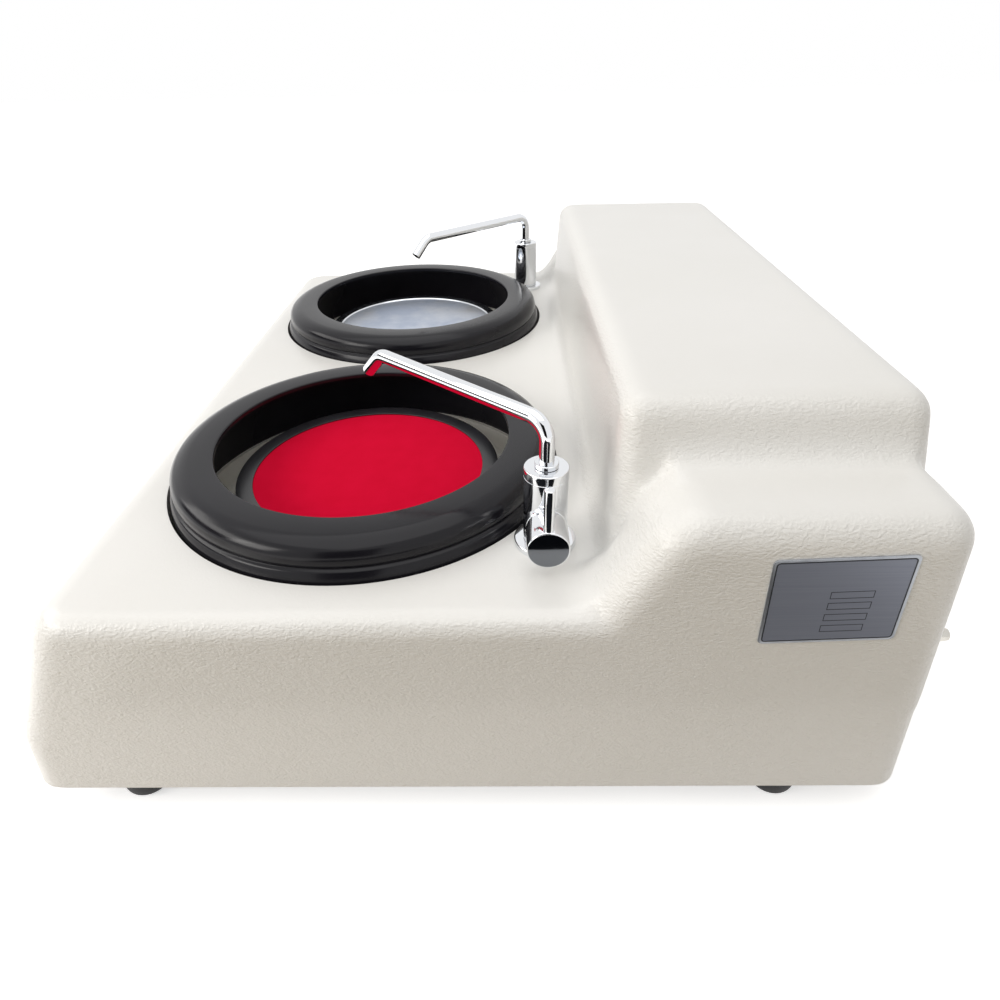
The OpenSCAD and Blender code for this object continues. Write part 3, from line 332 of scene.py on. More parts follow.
def colour(code):
    """A '#rrggbb' sRGB colour as linear red, green, blue and 1."""
    parts = [int(code[i : i + 2], 16) / 255 for i in (1, 3, 5)]
    return [p / 12.92 if p <= 0.04045 else ((p + 0.055) / 1.055) ** 2.4 for p in parts] + [1]


def add(tree, kind, settings=None, **inputs):
    """Adds one node. settings are its own properties; an input is a value or an output."""
    node = tree.nodes.new("ShaderNode" + kind)
    for key, value in (settings or {}).items():
        setattr(node, key, value)
    for key, value in inputs.items():
        slot = int(key[1:]) if key[1:].isdigit() else key.replace("_", " ")
        socket = node.inputs[slot]
        if isinstance(value, bpy.types.NodeSocket):
            tree.links.new(value, socket)
        else:
            socket.default_value = value
    return node


def new_finish(name, base, roughness, metallic=0.0, **shader):
    """A material with plain values; its node tree and shader come back for the patterns."""
    mat = bpy.data.materials.new(name)
    mat.use_nodes = True
    tree = mat.node_tree
    bsdf = tree.nodes["Principled BSDF"]
    bsdf.inputs["Base Color"].default_value = colour(base)
    bsdf.inputs["Roughness"].default_value = roughness
    bsdf.inputs["Metallic"].default_value = metallic
    for key, value in shader.items():
        bsdf.inputs[key.replace("_", " ")].default_value = value
    mat.diffuse_color = colour(base)
    return mat, tree, bsdf


def place(tree, scale=(1, 1, 1)):
    """Object coordinates of the piece, stretched by scale."""
    here = add(tree, "TexCoord")
    return add(tree, "Mapping", Vector=here.outputs["Object"], Scale=scale).outputs[0]


def shades(tree, bsdf, fac, low, high, start=0.0, end=1.0):
    """Colours the surface from low to high while fac goes from start to end."""
    ramp = add(tree, "ValToRGB", Fac=fac)
    first, last = ramp.color_ramp.elements
    first.position, last.position = start, end
    first.color, last.color = colour(low), colour(high)
    tree.links.new(ramp.outputs["Color"], bsdf.inputs["Base Color"])


def mottle(tree, bsdf, where, scale, low, high, detail=3.0):
    """Lets the colour drift between two shades over patches of the given scale."""
    noise = add(tree, "TexNoise", Vector=where, Scale=scale, Detail=detail, Roughness=0.5)
    shades(tree, bsdf, noise.outputs["Fac"], low, high, 0.3, 0.7)


def relief(tree, bsdf, height, depth_mm, strength):
    """Gives the surface the height pattern as a bump depth_mm deep."""
    bump = add(tree, "Bump", Height=height, Distance=depth_mm * mm, Strength=strength)
    tree.links.new(bump.outputs["Normal"], bsdf.inputs["Normal"])


def grit(tree, bsdf, where, scale, detail, depth_mm, strength, **noise):
    """Gives the surface a bump of plain noise."""
    speck = add(tree, "TexNoise", Vector=where, Scale=scale, Detail=detail, **noise)
    relief(tree, bsdf, speck.outputs["Fac"], depth_mm, strength)


def wear(tree, bsdf, where, scale, detail, low, high, **limits):
    """Lets the roughness drift between low and high."""
    drift = add(tree, "TexNoise", Vector=where, Scale=scale, Detail=detail)
    reach = add(tree, "MapRange", Value=drift.outputs["Fac"], To_Min=low, To_Max=high, **limits)
    tree.links.new(reach.outputs[0], bsdf.inputs["Roughness"])


def dress(obj, mat):
    """Gives every slot of a piece or CAD node the material."""
    if not obj.material_slots:
        obj.data.materials.append(mat)
    for slot in obj.material_slots:
        slot.material = mat


def hand_in(obj, name, body_name, mat, angle, replaces=()):
    """Names a finished piece, smooths its faces, and says what carries it and what it replaces."""
    only(obj)
    obj.name = name
    obj.data.name = name
    bpy.ops.object.shade_smooth_by_angle(angle=math.radians(angle))
    dress(obj, mat)
    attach(obj, body_name)
    if replaces:
        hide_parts(*replaces)
    leave_all()


# The gelcoat takes the mould's leather grain on every upright and sloping face: wrinkles about
# 3 mm long and half as wide. Level faces are polished smoother, so the grain fades there.
gelcoat, tree, bsdf = new_finish(
    "gelcoat_on_glass_fibre", "#f4f3f0", 0.34, Specular_IOR_Level=0.5, Coat_Weight=0.25,
    Coat_Roughness=0.16,
)
where = place(tree)
mottle(tree, bsdf, where, 6.0, "#f2f1ed", "#f6f5f2")
leather = place(tree, (0.6, 0.6, 1.2))
warped = add(tree, "TexNoise", Vector=leather, Scale=260.0, Detail=2.0)
bent = add(
    tree, "MixRGB", {"blend_type": "ADD"}, Fac=0.005, Color1=leather, Color2=warped.outputs["Color"]
)
cells = add(
    tree, "TexVoronoi", {"feature": "SMOOTH_F1"}, Vector=bent.outputs[0], Scale=560.0,
    Smoothness=0.3,
)
fine = add(tree, "TexNoise", Vector=where, Scale=620.0, Detail=3.0, Roughness=0.6)
grain = add(
    tree, "Math", {"operation": "MULTIPLY_ADD"}, _0=cells.outputs["Distance"], _1=1.2,
    _2=fine.outputs["Fac"],
)
facing = add(tree, "NewGeometry")
split = add(tree, "SeparateXYZ", Vector=facing.outputs["Normal"])
level = add(
    tree, "MapRange", Value=split.outputs["Z"], From_Min=0.72, From_Max=0.98, To_Min=1.0,
    To_Max=0.12,
)
wave = add(tree, "TexNoise", Vector=where, Scale=26.0, Detail=1.0)
grain_here = add(tree, "Math", {"operation": "MULTIPLY"}, _0=grain.outputs[0], _1=level.outputs[0])
height = add(tree, "Math", {"operation": "ADD"}, _0=wave.outputs["Fac"], _1=grain_here.outputs[0])
relief(tree, bsdf, height.outputs[0], 0.3, 1.0)
hand_in(body, "moulded_body", "machine", gelcoat, 34, ["housing_shell"])

# Base plate, frame and fasteners
# The shell is screwed to a painted steel plate, and a thicker plate on seven turned posts carries
# the spindles and the motor. Bolts, studs and nuts are bright zinc-plated steel.
frame_paint, tree, bsdf = new_finish("grey_enamel_on_steel", "#8d9296", 0.45)
where = place(tree)
mottle(tree, bsdf, where, 18.0, "#868b90", "#94999e")
grit(tree, bsdf, where, 700.0, 2.0, 0.05, 0.6)
for name in ("base_plate", "frame_plate"):
    dress(nodes[name], frame_paint)

zinc, tree, bsdf = new_finish("bright_zinc_plated_steel", "#c4c8cc", 0.3, 1.0)
where = place(tree)
mottle(tree, bsdf, where, 160.0, "#b9bdc1", "#cdd1d4")
wear(tree, bsdf, where, 900.0, 2.0, 0.24, 0.42)
for name in ("base_fasteners", "frame_posts"):
    dress(nodes[name], zinc)

# Feet
# Four moulded rubber feet with a domed sole, each on a stud through the base plate. A faint bloom
# and fine moulding grain keep the black from looking flat.
rubber, tree, bsdf = new_finish("moulded_black_rubber", "#1c1c1f", 0.62)
where = place(tree)
mottle(tree, bsdf, where, 60.0, "#18181a", "#232326")
grit(tree, bsdf, where, 1400.0, 2.0, 0.06, 0.7)


def outline(points, rounds=None, centre=(0, 0), axis="Z", steps=64, closed=True):
    """Draws a profile point by point, rounds the corners that rounds names, and spins it whole.
    Points are (radius, height) about the axis through centre; along X the height runs in X."""
    leave_all()
    bpy.ops.mesh.primitive_plane_add(size=2 * mm, location=(0, 0, 0))
    obj = bpy.context.object
    bpy.ops.object.mode_set(mode="EDIT")
    bpy.ops.mesh.select_mode(type="VERT")
    bpy.ops.mesh.select_all(action="SELECT")
    bpy.ops.mesh.merge(type="CENTER")

    def spot(p):
        if axis == "Z":
            return Vector((centre[0] + p[0], centre[1], p[1])) * mm
        return Vector((p[1], centre[0], centre[1] + p[0])) * mm

    bpy.ops.transform.translate(value=spot(points[0]))
    for a, b in zip(points, points[1:]):
        bpy.ops.mesh.extrude_region_move(TRANSFORM_OT_translate={"value": spot(b) - spot(a)})
    if closed:
        bm = bmesh.from_edit_mesh(obj.data)
        bm.edges.new([v for v in bm.verts if len(v.link_edges) == 1])
        bmesh.update_edit_mesh(obj.data)
    for index, r in (rounds or {}).items():
        corner = spot(points[index])
        pick(obj, "VERT", lambda c: (c * mm - corner).length < 0.01 * mm)
        bpy.ops.mesh.bevel(offset=r * mm, segments=5, affect="VERTICES")
    bpy.ops.mesh.select_all(action="SELECT")
    turn = (0, 0, 1) if axis == "Z" else (1, 0, 0)
    bpy.ops.mesh.spin(steps=steps, angle=2 * math.pi, center=spot((0, 0)), axis=turn)
    close_up(0.01)
    return obj


foot_x, front_foot_y, rear_foot_y, foot_top = 327, -241.6, 209.4, 26.9
foot_profile = [(0, 0), (10, 0), (15.4, 3.2), (17, 9), (17, foot_top), (0, foot_top)]
for row, y in (("front", front_foot_y), ("rear", rear_foot_y)):
    for x, end in ((-foot_x, "left"), (foot_x, "right")):
        name = "foot_" + row + "_" + end
        foot = outline(foot_profile, {1: 2, 2: 3, 3: 3}, (x, y), closed=False)
        hand_in(foot, "rubber_" + name, "machine", rubber, 40, [name])

# Spindles, bearings and drive
# Ground steel spindles run in cast bearing housings on the frame plate. Two V-belts join their cast
# pulleys to a two-step pulley under a finned induction motor.
ground_steel, tree, bsdf = new_finish("ground_steel", "#b6babf", 0.26, 1.0)
where = place(tree, (1, 1, 26))
turned = add(tree, "TexNoise", Vector=where, Scale=90.0, Detail=3.0)
rough = add(tree, "MapRange", Value=turned.outputs["Fac"], To_Min=0.18, To_Max=0.36)
tree.links.new(rough.outputs[0], bsdf.inputs["Roughness"])
relief(tree, bsdf, turned.outputs["Fac"], 0.01, 0.5)
for name in (
    "spindle_left", "spindle_right", "bearing_outer_rings", "bearing_inner_rings_left",
    "bearing_inner_rings_right", "bearing_balls", "motor_rotor",
):
    dress(nodes[name], ground_steel)

cast_iron, tree, bsdf = new_finish("painted_cast_iron", "#4b5157", 0.55, 0.0)
where = place(tree)
mottle(tree, bsdf, where, 40.0, "#454a50", "#535960")
grit(tree, bsdf, where, 420.0, 4.0, 0.22, 0.8, Roughness=0.65)
for name in ("bearing_housing_left", "bearing_housing_right"):
    dress(nodes[name], cast_iron)

turned_iron, tree, bsdf = new_finish("turned_grey_iron", "#74787d", 0.42, 1.0)
where = place(tree)
wear(tree, bsdf, where, 500.0, 3.0, 0.34, 0.55)
mottle(tree, bsdf, where, 120.0, "#6b6f74", "#7d8186")
for name in ("pulley_left", "pulley_right", "motor_pulley"):
    dress(nodes[name], turned_iron)

belt_rubber, tree, bsdf = new_finish("fabric_faced_belt_rubber", "#242427", 0.78)
where = place(tree)
bands = {"wave_type": "BANDS", "bands_direction": "DIAGONAL"}
weave = add(tree, "TexWave", bands, Vector=where, Scale=260.0)
mottle(tree, bsdf, where, 90.0, "#1f1f22", "#2c2c2f")
relief(tree, bsdf, weave.outputs["Fac"], 0.12, 0.6)
for name in ("belt_left", "belt_right"):
    dress(nodes[name], belt_rubber)

motor_enamel, tree, bsdf = new_finish("blue_grey_motor_enamel", "#44607a", 0.4)
where = place(tree)
mottle(tree, bsdf, where, 30.0, "#3e5971", "#4b6883")
grit(tree, bsdf, where, 380.0, 3.0, 0.12, 0.7)
for name in ("motor_housing", "motor_fan_cover"):
    dress(nodes[name], motor_enamel)

core_steel, tree, bsdf = new_finish("varnished_steel_core", "#6d5844", 0.38, 0.35)
where = place(tree)
bands = {"wave_type": "BANDS", "bands_direction": "Z"}
sheets = add(tree, "TexWave", bands, Vector=where, Scale=300.0)
mottle(tree, bsdf, where, 70.0, "#5e4b39", "#7b644d")
relief(tree, bsdf, sheets.outputs["Fac"], 0.08, 0.8)
dress(nodes["motor_stator"], core_steel)

black_nylon, tree, bsdf = new_finish("glass_filled_black_nylon", "#2b2d30", 0.5)
where = place(tree)
mottle(tree, bsdf, where, 220.0, "#26282b", "#323437")
grit(tree, bsdf, where, 900.0, 3.0, 0.05, 0.6)
for name in ("motor_fan", "motor_terminal_box"):
    dress(nodes[name], black_nylon)

# Bowls
# Each bowl is moulded in pale polyester resin and bonded under a deck opening. Water dulls it in
# faint patches.
bowl_resin, tree, bsdf = new_finish(
    "pale_polyester_resin", "#f0eee6", 0.42, Coat_Weight=0.15, Coat_Roughness=0.25
)
where = place(tree)
mottle(tree, bsdf, where, 22.0, "#eae7de", "#f3f1ea", 5.0)
grit(tree, bsdf, where, 120.0, 3.0, 0.15, 0.6)
for name in ("bowl_left", "bowl_right"):
    dress(nodes[name], bowl_resin)

# Splash rings
# Two vacuum-formed rings of glossy black ABS that lift out of the bowls. The sheet rolls over a
# rounded edge to a crease, then flares into a skirt that stands on the bowl's ledge.
ring_abs, tree, bsdf = new_finish(
    "vacuum_formed_black_abs", "#18171b", 0.2, Specular_IOR_Level=0.26
)
where = place(tree)
mottle(tree, bsdf, where, 14.0, "#16151a", "#1c1b20")
wear(tree, bsdf, where, 60.0, 2.0, 0.14, 0.24)
grit(tree, bsdf, where, 240.0, 2.0, 0.03, 0.5)
ring_profile = [
    (110.0, 197.0), (110.0, 200.4), (130.5, 200.4), (140.4, 196.0), (142.2, 187.5),
    (140.8, 183.4), (143.0, 182.2), (145.4, 177.5), (146.0, 170.0), (146.0, 146.5),
    (142.0, 146.5), (142.0, 170.0), (138.4, 184.0), (136.6, 193.2), (129.0, 196.4),
]
ring_rounds = {1: 1.2, 2: 3.6, 3: 4.4, 4: 3.0, 5: 0.5, 6: 0.8, 7: 3.0, 13: 3.0}
for side, name in ((-1, "left"), (1, "right")):
    ring = outline(ring_profile, ring_rounds, (side * disc_x, disc_y), steps=192)
    hand_in(
        ring, "ring_" + name, name + "_ring", ring_abs, 30,
        ["splash_ring_" + name],
    )

# Platters
# Cast aluminium discs, faced on a lathe, with a slinger round the hub that keeps water off the
# bearings. A raised rim band is polished bright; the face inside it has clouded with use.
platter_metal, tree, bsdf = new_finish("lathe_faced_aluminium", "#c3c8cf", 0.3, 1.0)
where = place(tree)
cloud = add(tree, "TexNoise", Vector=where, Scale=16.0, Detail=4.0, Roughness=0.55)
shades(tree, bsdf, cloud.outputs["Fac"], "#bac3d3", "#eef1f6", 0.35, 0.68)
blur = add(
    tree, "MapRange", Value=cloud.outputs["Fac"], From_Min=0.3, From_Max=0.7, To_Min=0.5,
    To_Max=0.36,
)
tree.links.new(blur.outputs[0], bsdf.inputs["Roughness"])
bright_rim, tree, bsdf = new_finish("polished_aluminium_rim", "#dfe2e6", 0.14, 1.0)
wear(tree, bsdf, place(tree), 75.0, 3.0, 0.1, 0.24)
for side, name, face, rim in ((-1, "left", 167.0, 168.0), (1, "right", 167.9, 167.9)):
    platter_profile = [
        (0, face), (88.6, face), (89.8, rim), (99.0, rim), (100, 167.0), (100, 151), (99, 150),
        (50, 150), (50, 140), (46, 140), (46, 150), (12.1, 150), (12.1, 163), (0, 163),
    ]
    centre = (side * disc_x, disc_y)
    platter = outline(platter_profile, {3: 0.4}, centre, closed=False, steps=160)
    hand_in(
        platter, "disc_" + name, name + "_platter", platter_metal, 28,
        ["platter_" + name],
    )
    platter.data.materials.append(bright_rim)
    for poly in platter.data.polygons:
        reach = math.hypot(poly.center.x / mm - side * disc_x, poly.center.y / mm - disc_y)
        if reach > 88.9 and poly.center.z / mm > 160:
            poly.material_index = 1

# Polishing cloth
# A round of short-napped red wool felt, cut to 198 mm and glued flat on the right platter, with the
# hoop over its edge. The nap is under a millimetre; it is drawn at 1.2 mm so that it shows.
felt, tree, bsdf = new_finish(
    "red_polishing_felt", "#dd0a33", 0.95, Sheen_Weight=0.06, Sheen_Roughness=0.5,
    Specular_IOR_Level=0.05,
)
where = place(tree)
mottle(tree, bsdf, where, 60.0, "#db0932", "#e00b36", 6.0)
nap = add(tree, "TexNoise", Vector=where, Scale=850.0, Detail=4.0, Roughness=0.7)
rubbed = add(tree, "TexNoise", Vector=where, Scale=30.0, Detail=2.0)
height = add(
    tree, "Math", {"operation": "MULTIPLY_ADD"}, _0=rubbed.outputs["Fac"], _1=0.8,
    _2=nap.outputs["Fac"],
)
relief(tree, bsdf, height.outputs[0], 0.2, 0.45)
bsdf.inputs["Sheen Tint"].default_value = colour("#ff6a80")
cloth_r, cloth_z, wave_h = 99, 168.98, 0.12
leave_all()
bpy.ops.mesh.primitive_grid_add(
    x_subdivisions=90, y_subdivisions=90, size=2 * mm, location=(0, 0, 0)
)
cloth = bpy.context.object
for v in cloth.data.vertices:
    x, y = v.co.x / mm, v.co.y / mm
    disc = Vector((x * math.sqrt(1 - y * y / 2), y * math.sqrt(1 - x * x / 2)))
    lift = wave_h * math.sin(7 * x + 1.3) * math.sin(5 * y - 0.6) * (1 - disc.length**4)
    z = cloth_z + min(0, lift - 0.1)
    v.co = Vector((disc_x + disc.x * cloth_r, disc_y + disc.y * cloth_r, z)) * mm
modify(cloth, "SOLIDIFY", thickness=0.85 * mm, offset=-1)
hand_in(cloth, "cloth", "right_platter", felt, 50, ["polishing_cloth"])

# Cloth hoop
# A spring-steel hoop, stoved satin black, that clips over the platter's edge and holds the cloth.
hoop_paint, tree, bsdf = new_finish(
    "stoved_black_steel", "#222225", 0.32, Coat_Weight=0.2, Coat_Roughness=0.2
)
where = place(tree)
mottle(tree, bsdf, where, 50.0, "#1d1d20", "#28282c")
grit(tree, bsdf, where, 520.0, 2.0, 0.03, 0.6)
hoop_profile = [
    (89.0, 169.35), (89.0, 170.1), (97.0, 170.5), (101.5, 170.1), (101.5, 159.3),
    (100.35, 159.3), (100.35, 169.3), (97.0, 169.3),
]
hoop = outline(hoop_profile, {1: 0.3, 3: 0.9}, (disc_x, disc_y), steps=160)
hand_in(hoop, "clip_hoop", "hoop", hoop_paint, 40, ["cloth_hoop"])

# Taps
# Two turned brass water taps with a polished chrome plate: a flange on the deck, a post with a
# side valve whose knob turns by a pin, and a bent spout that swings in the post. The knob's flat
# end is chrome with a darker base colour: a painted dark reflection of the surroundings.
chrome, tree, bsdf = new_finish("polished_chrome_plate", "#e9ebee", 0.045, 1.0)
wear(tree, bsdf, place(tree), 48.0, 3.0, 0.03, 0.09, From_Min=0.35, From_Max=0.75)
# A darker chrome for the knob's flat end: its colour is a painted dark reflection.
chrome_with_painted_dark_reflection, tree, bsdf = new_finish("chrome_cap_painted_dark_reflection", "#7c8086", 0.07, 1.0)
wear(tree, bsdf, place(tree), 80.0, 2.0, 0.04, 0.12)
valve_z = 198
post_top = 233
level_z = 263


def mirror_x(obj, side):
    """Turns a right-hand piece drawn on the tap axis into a left-hand one, or leaves it."""
    only(obj)
    if side < 0:
        obj.scale = (-1, 1, 1)
        bpy.ops.object.transform_apply(location=False, rotation=False, scale=True)
        bpy.ops.object.mode_set(mode="EDIT")
        bpy.ops.mesh.select_all(action="SELECT")
        bpy.ops.mesh.flip_normals()
        bpy.ops.object.mode_set(mode="OBJECT")
    return obj


def bent_tube(r, thick):
    """The spout: a ring extruded up, spun round its elbow, run level, spun down and let out."""
    swing, drop = math.radians(-132.5), math.radians(44)
    reach, elbow_r, bend_r, tip_run = 153, 13, 14, 23
    out = Vector((math.cos(swing), math.sin(swing), 0))
    axis = Vector((-out.y, out.x, 0))
    foot = Vector((tap_x, tap_y, 216))
    leave_all()
    bpy.ops.mesh.primitive_circle_add(
        vertices=40, radius=r * mm, fill_type="NOTHING", location=(0, 0, 0)
    )
    obj = bpy.context.object
    bpy.ops.object.mode_set(mode="EDIT")
    bpy.ops.mesh.select_mode(type="EDGE")
    bpy.ops.mesh.select_all(action="SELECT")
    bpy.ops.transform.translate(value=foot * mm)

    def run(vector):
        bpy.ops.mesh.extrude_region_move(TRANSFORM_OT_translate={"value": vector * mm})

    run(Vector((0, 0, level_z - elbow_r - foot.z)))
    elbow = Vector((tap_x, tap_y, level_z - elbow_r)) + out * elbow_r
    bpy.ops.mesh.spin(steps=14, angle=math.pi / 2, center=elbow * mm, axis=-axis)
    half_bend = bend_r * math.tan(drop / 2)
    run(out * (reach - half_bend - elbow_r))
    bend = Vector((tap_x, tap_y, level_z - bend_r)) + out * (reach - half_bend)
    bpy.ops.mesh.spin(steps=9, angle=drop, center=bend * mm, axis=-axis)
    down = out * math.cos(drop) - Vector((0, 0, 1)) * math.sin(drop)
    run(down * (tip_run - half_bend))
    close_up(0.01)
    modify(obj, "SOLIDIFY", thickness=thick * mm, offset=-1)
    return obj


flange_profile = [(8.3, 176.02), (20, 176.02), (20, 179.9), (8.3, 179.9)]
post_profile = [
    (3.5, 150), (5, 150), (5, 160), (8, 160), (8, 180), (14, 180), (14, 226.6), (13.75, 226.8),
    (13.75, 227.1), (14, 227.3), (14, post_top), (5.0, post_top), (5.0, 215), (3.5, 215),
]
neck_shape = [(0, 0), (13, 0), (13, 15.5), (0, 15.5)]
knob_shape = [(0, -6), (6, -6), (6, 15.6), (11.6, 15.6), (13, 16.6), (13, 38.3), (0, 38.3)]
pin_profile = [(0, 207), (3.2, 207), (3.2, 239.2), (0, 239.2)]
collar_profile = [(4.6, 233.3), (7.5, 233.3), (7.5, 236.3), (4.6, 236.3)]
here, valve = (tap_x, tap_y), (tap_y, valve_z)
knob_end = tap_x + 35
flanges = []
for side, name in ((-1, "left"), (1, "right")):
    flanges.append(mirror_x(outline(flange_profile, {1: 0.3, 2: 0.9}, here, steps=96), side))

    post = outline(post_profile, {5: 0.4, 10: 0.7}, here, steps=96)
    neck_profile = [(r, tap_x + x) for r, x in neck_shape]
    neck = outline(neck_profile, {2: 0.5}, valve, "X", 96, closed=False)
    tap = mirror_x(join(post, neck), side)
    hand_in(tap, "tap_post_" + name, "machine", chrome, 30, ["tap_body_" + name])

    knob_profile = [(r, tap_x + x) for r, x in knob_shape]
    knob = outline(knob_profile, {3: 0.3, 4: 0.3, 5: 0.9}, valve, "X", 96, closed=False)
    hand_in(
        mirror_x(knob, side), "valve_knob_" + name, name + "_valve", chrome, 30,
        ["tap_knob_" + name],
    )
    # The knob's flat end face takes the darker chrome, a painted dark reflection.
    knob.data.materials.append(chrome_with_painted_dark_reflection)
    for poly in knob.data.polygons:
        if abs(poly.normal.x) > 0.99 and abs(poly.center.x) > knob_end * mm:
            poly.material_index = 1

    pin = outline(pin_profile, {2: 0.7}, (tap_x + 34.6, tap_y), steps=48, closed=False)
    hand_in(
        mirror_x(pin, side), "valve_pin_" + name, name + "_valve", chrome, 30,
        ["tap_lever_" + name],
    )

    collar = outline(collar_profile, {1: 0.3, 2: 0.6}, here)
    spout = mirror_x(join(bent_tube(4.8, 1.3), collar), side)
    hand_in(
        spout, "swing_spout_" + name, name + "_spout", chrome, 30,
        ["tap_spout_" + name],
    )
hand_in(join(*flanges), "deck_flanges", "machine", chrome, 30, ["tap_flanges"])

brass, tree, bsdf = new_finish("turned_brass", "#c9a75c", 0.3, 1.0)
where = place(tree)
mottle(tree, bsdf, where, 90.0, "#bd9b52", "#d2b168")
dress(nodes["tap_nuts"], brass)

# Water and drain fittings
# Hose tails are clamped through the rear wall with a flange and a nut: two small nickel-plated
# ones for water and two wide grey polypropylene ones for the drains. Clear and grey PVC hoses run
# inside from them.
nickel, tree, bsdf = new_finish("nickel_plated_brass", "#c9c6bf", 0.2, 1.0)
where = place(tree)
mottle(tree, bsdf, where, 80.0, "#bebbb4", "#d3d0c9")
wear(tree, bsdf, where, 200.0, 3.0, 0.14, 0.32)
grey_pp, tree, bsdf = new_finish("moulded_grey_polypropylene", "#8f9296", 0.45)
where = place(tree)
mottle(tree, bsdf, where, 50.0, "#888b8f", "#96999d")
grit(tree, bsdf, where, 600.0, 2.0, 0.04, 0.6)


def hose_tail(r, bore, pad, tail, face, tip, barbs):
    """Profile of a fitting from its inner tail through the wall to its tip, in (radius, depth)."""
    points = [(bore, tail), (r, tail), (r, face), (pad, face), (pad, face + 4), (r, face + 4)]
    rise = r * 0.1
    step = (tip - face - 8) / barbs
    for i in range(barbs):
        y = face + 6 + i * step
        points += [(r - rise, y), (r, y + 0.2), (r - rise, y + step - 0.4)]
    return points + [(r - rise - 0.4, tip), (bore, tip)]


def settle(obj, matrix):
    """Puts a piece drawn about the origin into its place, in its mesh."""
    obj.data.transform(matrix)
    obj.data.update()
    return obj


def tipped(x, y, z, turn=math.pi / 2):
    """The place x, y, z with a turn about X. The quarter turn tips the piece's Z axis to -Y."""
    return Matrix.Translation(Vector((x, y, z)) * mm) @ Matrix.Rotation(turn, 4, "X")


tail_kinds = (
    (inlet_x, inlet_z, 5, 3.5, 12, 28, 4),
    (outlet_x, outlet_z, 10, 8, 18, 18, 2),
)
nut_h = 6
drains = []
for side, end in ((-1, "left"), (1, "right")):
    for x, z, r, bore, pad, reach, barbs in tail_kinds:
        low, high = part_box("water_inlet_right" if r == 5 else "drain_outlets")
        tail, tip = low.y / mm, high.y / mm
        fitting = outline(hose_tail(r, bore, pad, tail, tip - reach, tip, barbs))
        settle(fitting, tipped(side * x, 0, z, -math.pi / 2))
        leave_all()
        wall_y = rear_line(z + pad + 2) - wall
        bpy.ops.mesh.primitive_cylinder_add(
            vertices=6, radius=pad * mm, depth=nut_h * mm, rotation=(math.pi / 2, 0, 0),
            location=(side * x * mm, (wall_y - nut_h / 2) * mm, z * mm),
        )
        nut = bpy.context.object
        bpy.ops.object.transform_apply(location=True, rotation=True, scale=True)
        modify(nut, "BEVEL", width=0.6 * mm, segments=2)
        join(fitting, nut)
        if r == 5:
            cad = ["water_inlet_" + end]
            hand_in(fitting, "water_tail_" + end, "machine", nickel, 30, cad)
        else:
            drains.append(fitting)
hand_in(join(*drains), "drain_tails", "machine", grey_pp, 30, ["drain_outlets"])

pvc, tree, bsdf = new_finish("clear_pvc_hose", "#b9c6cd", 0.22, Coat_Weight=0.3, Coat_Roughness=0.1)
where = place(tree)
mottle(tree, bsdf, where, 45.0, "#aebcc4", "#c5d0d6")
for name in ("water_hose_left", "water_hose_right"):
    dress(nodes[name], pvc)
grey_hose, tree, bsdf = new_finish("grey_drain_hose", "#8d9499", 0.5)
where = place(tree)
mottle(tree, bsdf, where, 45.0, "#848b90", "#979ea3")
grit(tree, bsdf, where, 300.0, 2.0, 0.08, 0.6)
for name in ("drain_hose_left", "drain_hose_right"):
    dress(nodes[name], grey_hose)

# Control panel and push buttons
# A brushed aluminium plate is screwed to the sloping front. A green start button and a red stop
# button stand in turned bezels, with their contact blocks behind the wall.
brushed, tree, bsdf = new_finish("brushed_anodised_aluminium", "#b9bec5", 0.36, 0.9)
where = place(tree, (3, 240, 240))
lines = add(tree, "TexNoise", Vector=where, Scale=6.0, Detail=4.0, Roughness=0.6)
shades(tree, bsdf, lines.outputs["Fac"], "#aab0b8", "#c6cad0")
relief(tree, bsdf, lines.outputs["Fac"], 0.02, 0.7)
green_cap, tree, bsdf = new_finish(
    "green_moulded_pbt", "#2f8f4a", 0.3, Coat_Weight=0.2, Coat_Roughness=0.15
)
mottle(tree, bsdf, place(tree), 70.0, "#2b8745", "#35994f")
red_cap, tree, bsdf = new_finish(
    "red_moulded_pbt", "#c22b2b", 0.3, Coat_Weight=0.2, Coat_Roughness=0.15
)
mottle(tree, bsdf, place(tree), 70.0, "#b82626", "#cc3232")
etch, tree, bsdf = new_finish("black_filled_etching", "#23252a", 0.5)
mottle(tree, bsdf, place(tree), 200.0, "#1f2126", "#2a2c32")
on_slope = tipped(0, front_line(panel_z), panel_z, -front_lean)


def tile(w, h, thick, r, out=0.0):
    """A flat plate in X and Z with round corners, its back at y = -out and growing towards -Y."""
    leave_all()
    bpy.ops.mesh.primitive_plane_add(size=1, location=(0, 0, 0))
    obj = bpy.context.object
    bpy.ops.object.mode_set(mode="EDIT")
    bpy.ops.mesh.select_all(action="SELECT")
    bpy.ops.transform.resize(value=(w * mm, h * mm, 1))
    bpy.ops.mesh.bevel(offset=r * mm, segments=8, affect="VERTICES")
    bpy.ops.mesh.select_all(action="SELECT")
    bpy.ops.mesh.extrude_region_move(TRANSFORM_OT_translate={"value": (0, 0, thick * mm)})
    close_up()
    return settle(obj, tipped(0, -out, 0))


def frame_line(w, h, r, line, out, x=0.0, z=0.0):
    """A thin closed line, such as an etched border, standing a hair out of a plate."""
    obj = tile(w, h, 0.06, r, out)
    only(obj)
    bpy.ops.object.mode_set(mode="EDIT")
    pick(obj, "FACE", lambda c, n: abs(n.y) > 0.9)
    bpy.ops.mesh.inset(thickness=line * mm)
    bpy.ops.mesh.delete(type="FACE")
    pick(obj, "EDGE", lambda a, b: False)
    bm = bmesh.from_edit_mesh(obj.data)
    for e in bm.edges:
        e.select_set(e.is_boundary)
    bmesh.update_edit_mesh(obj.data)
    bpy.ops.mesh.bridge_edge_loops()
    close_up()
    return settle(obj, Matrix.Translation((x * mm, 0, z * mm)))


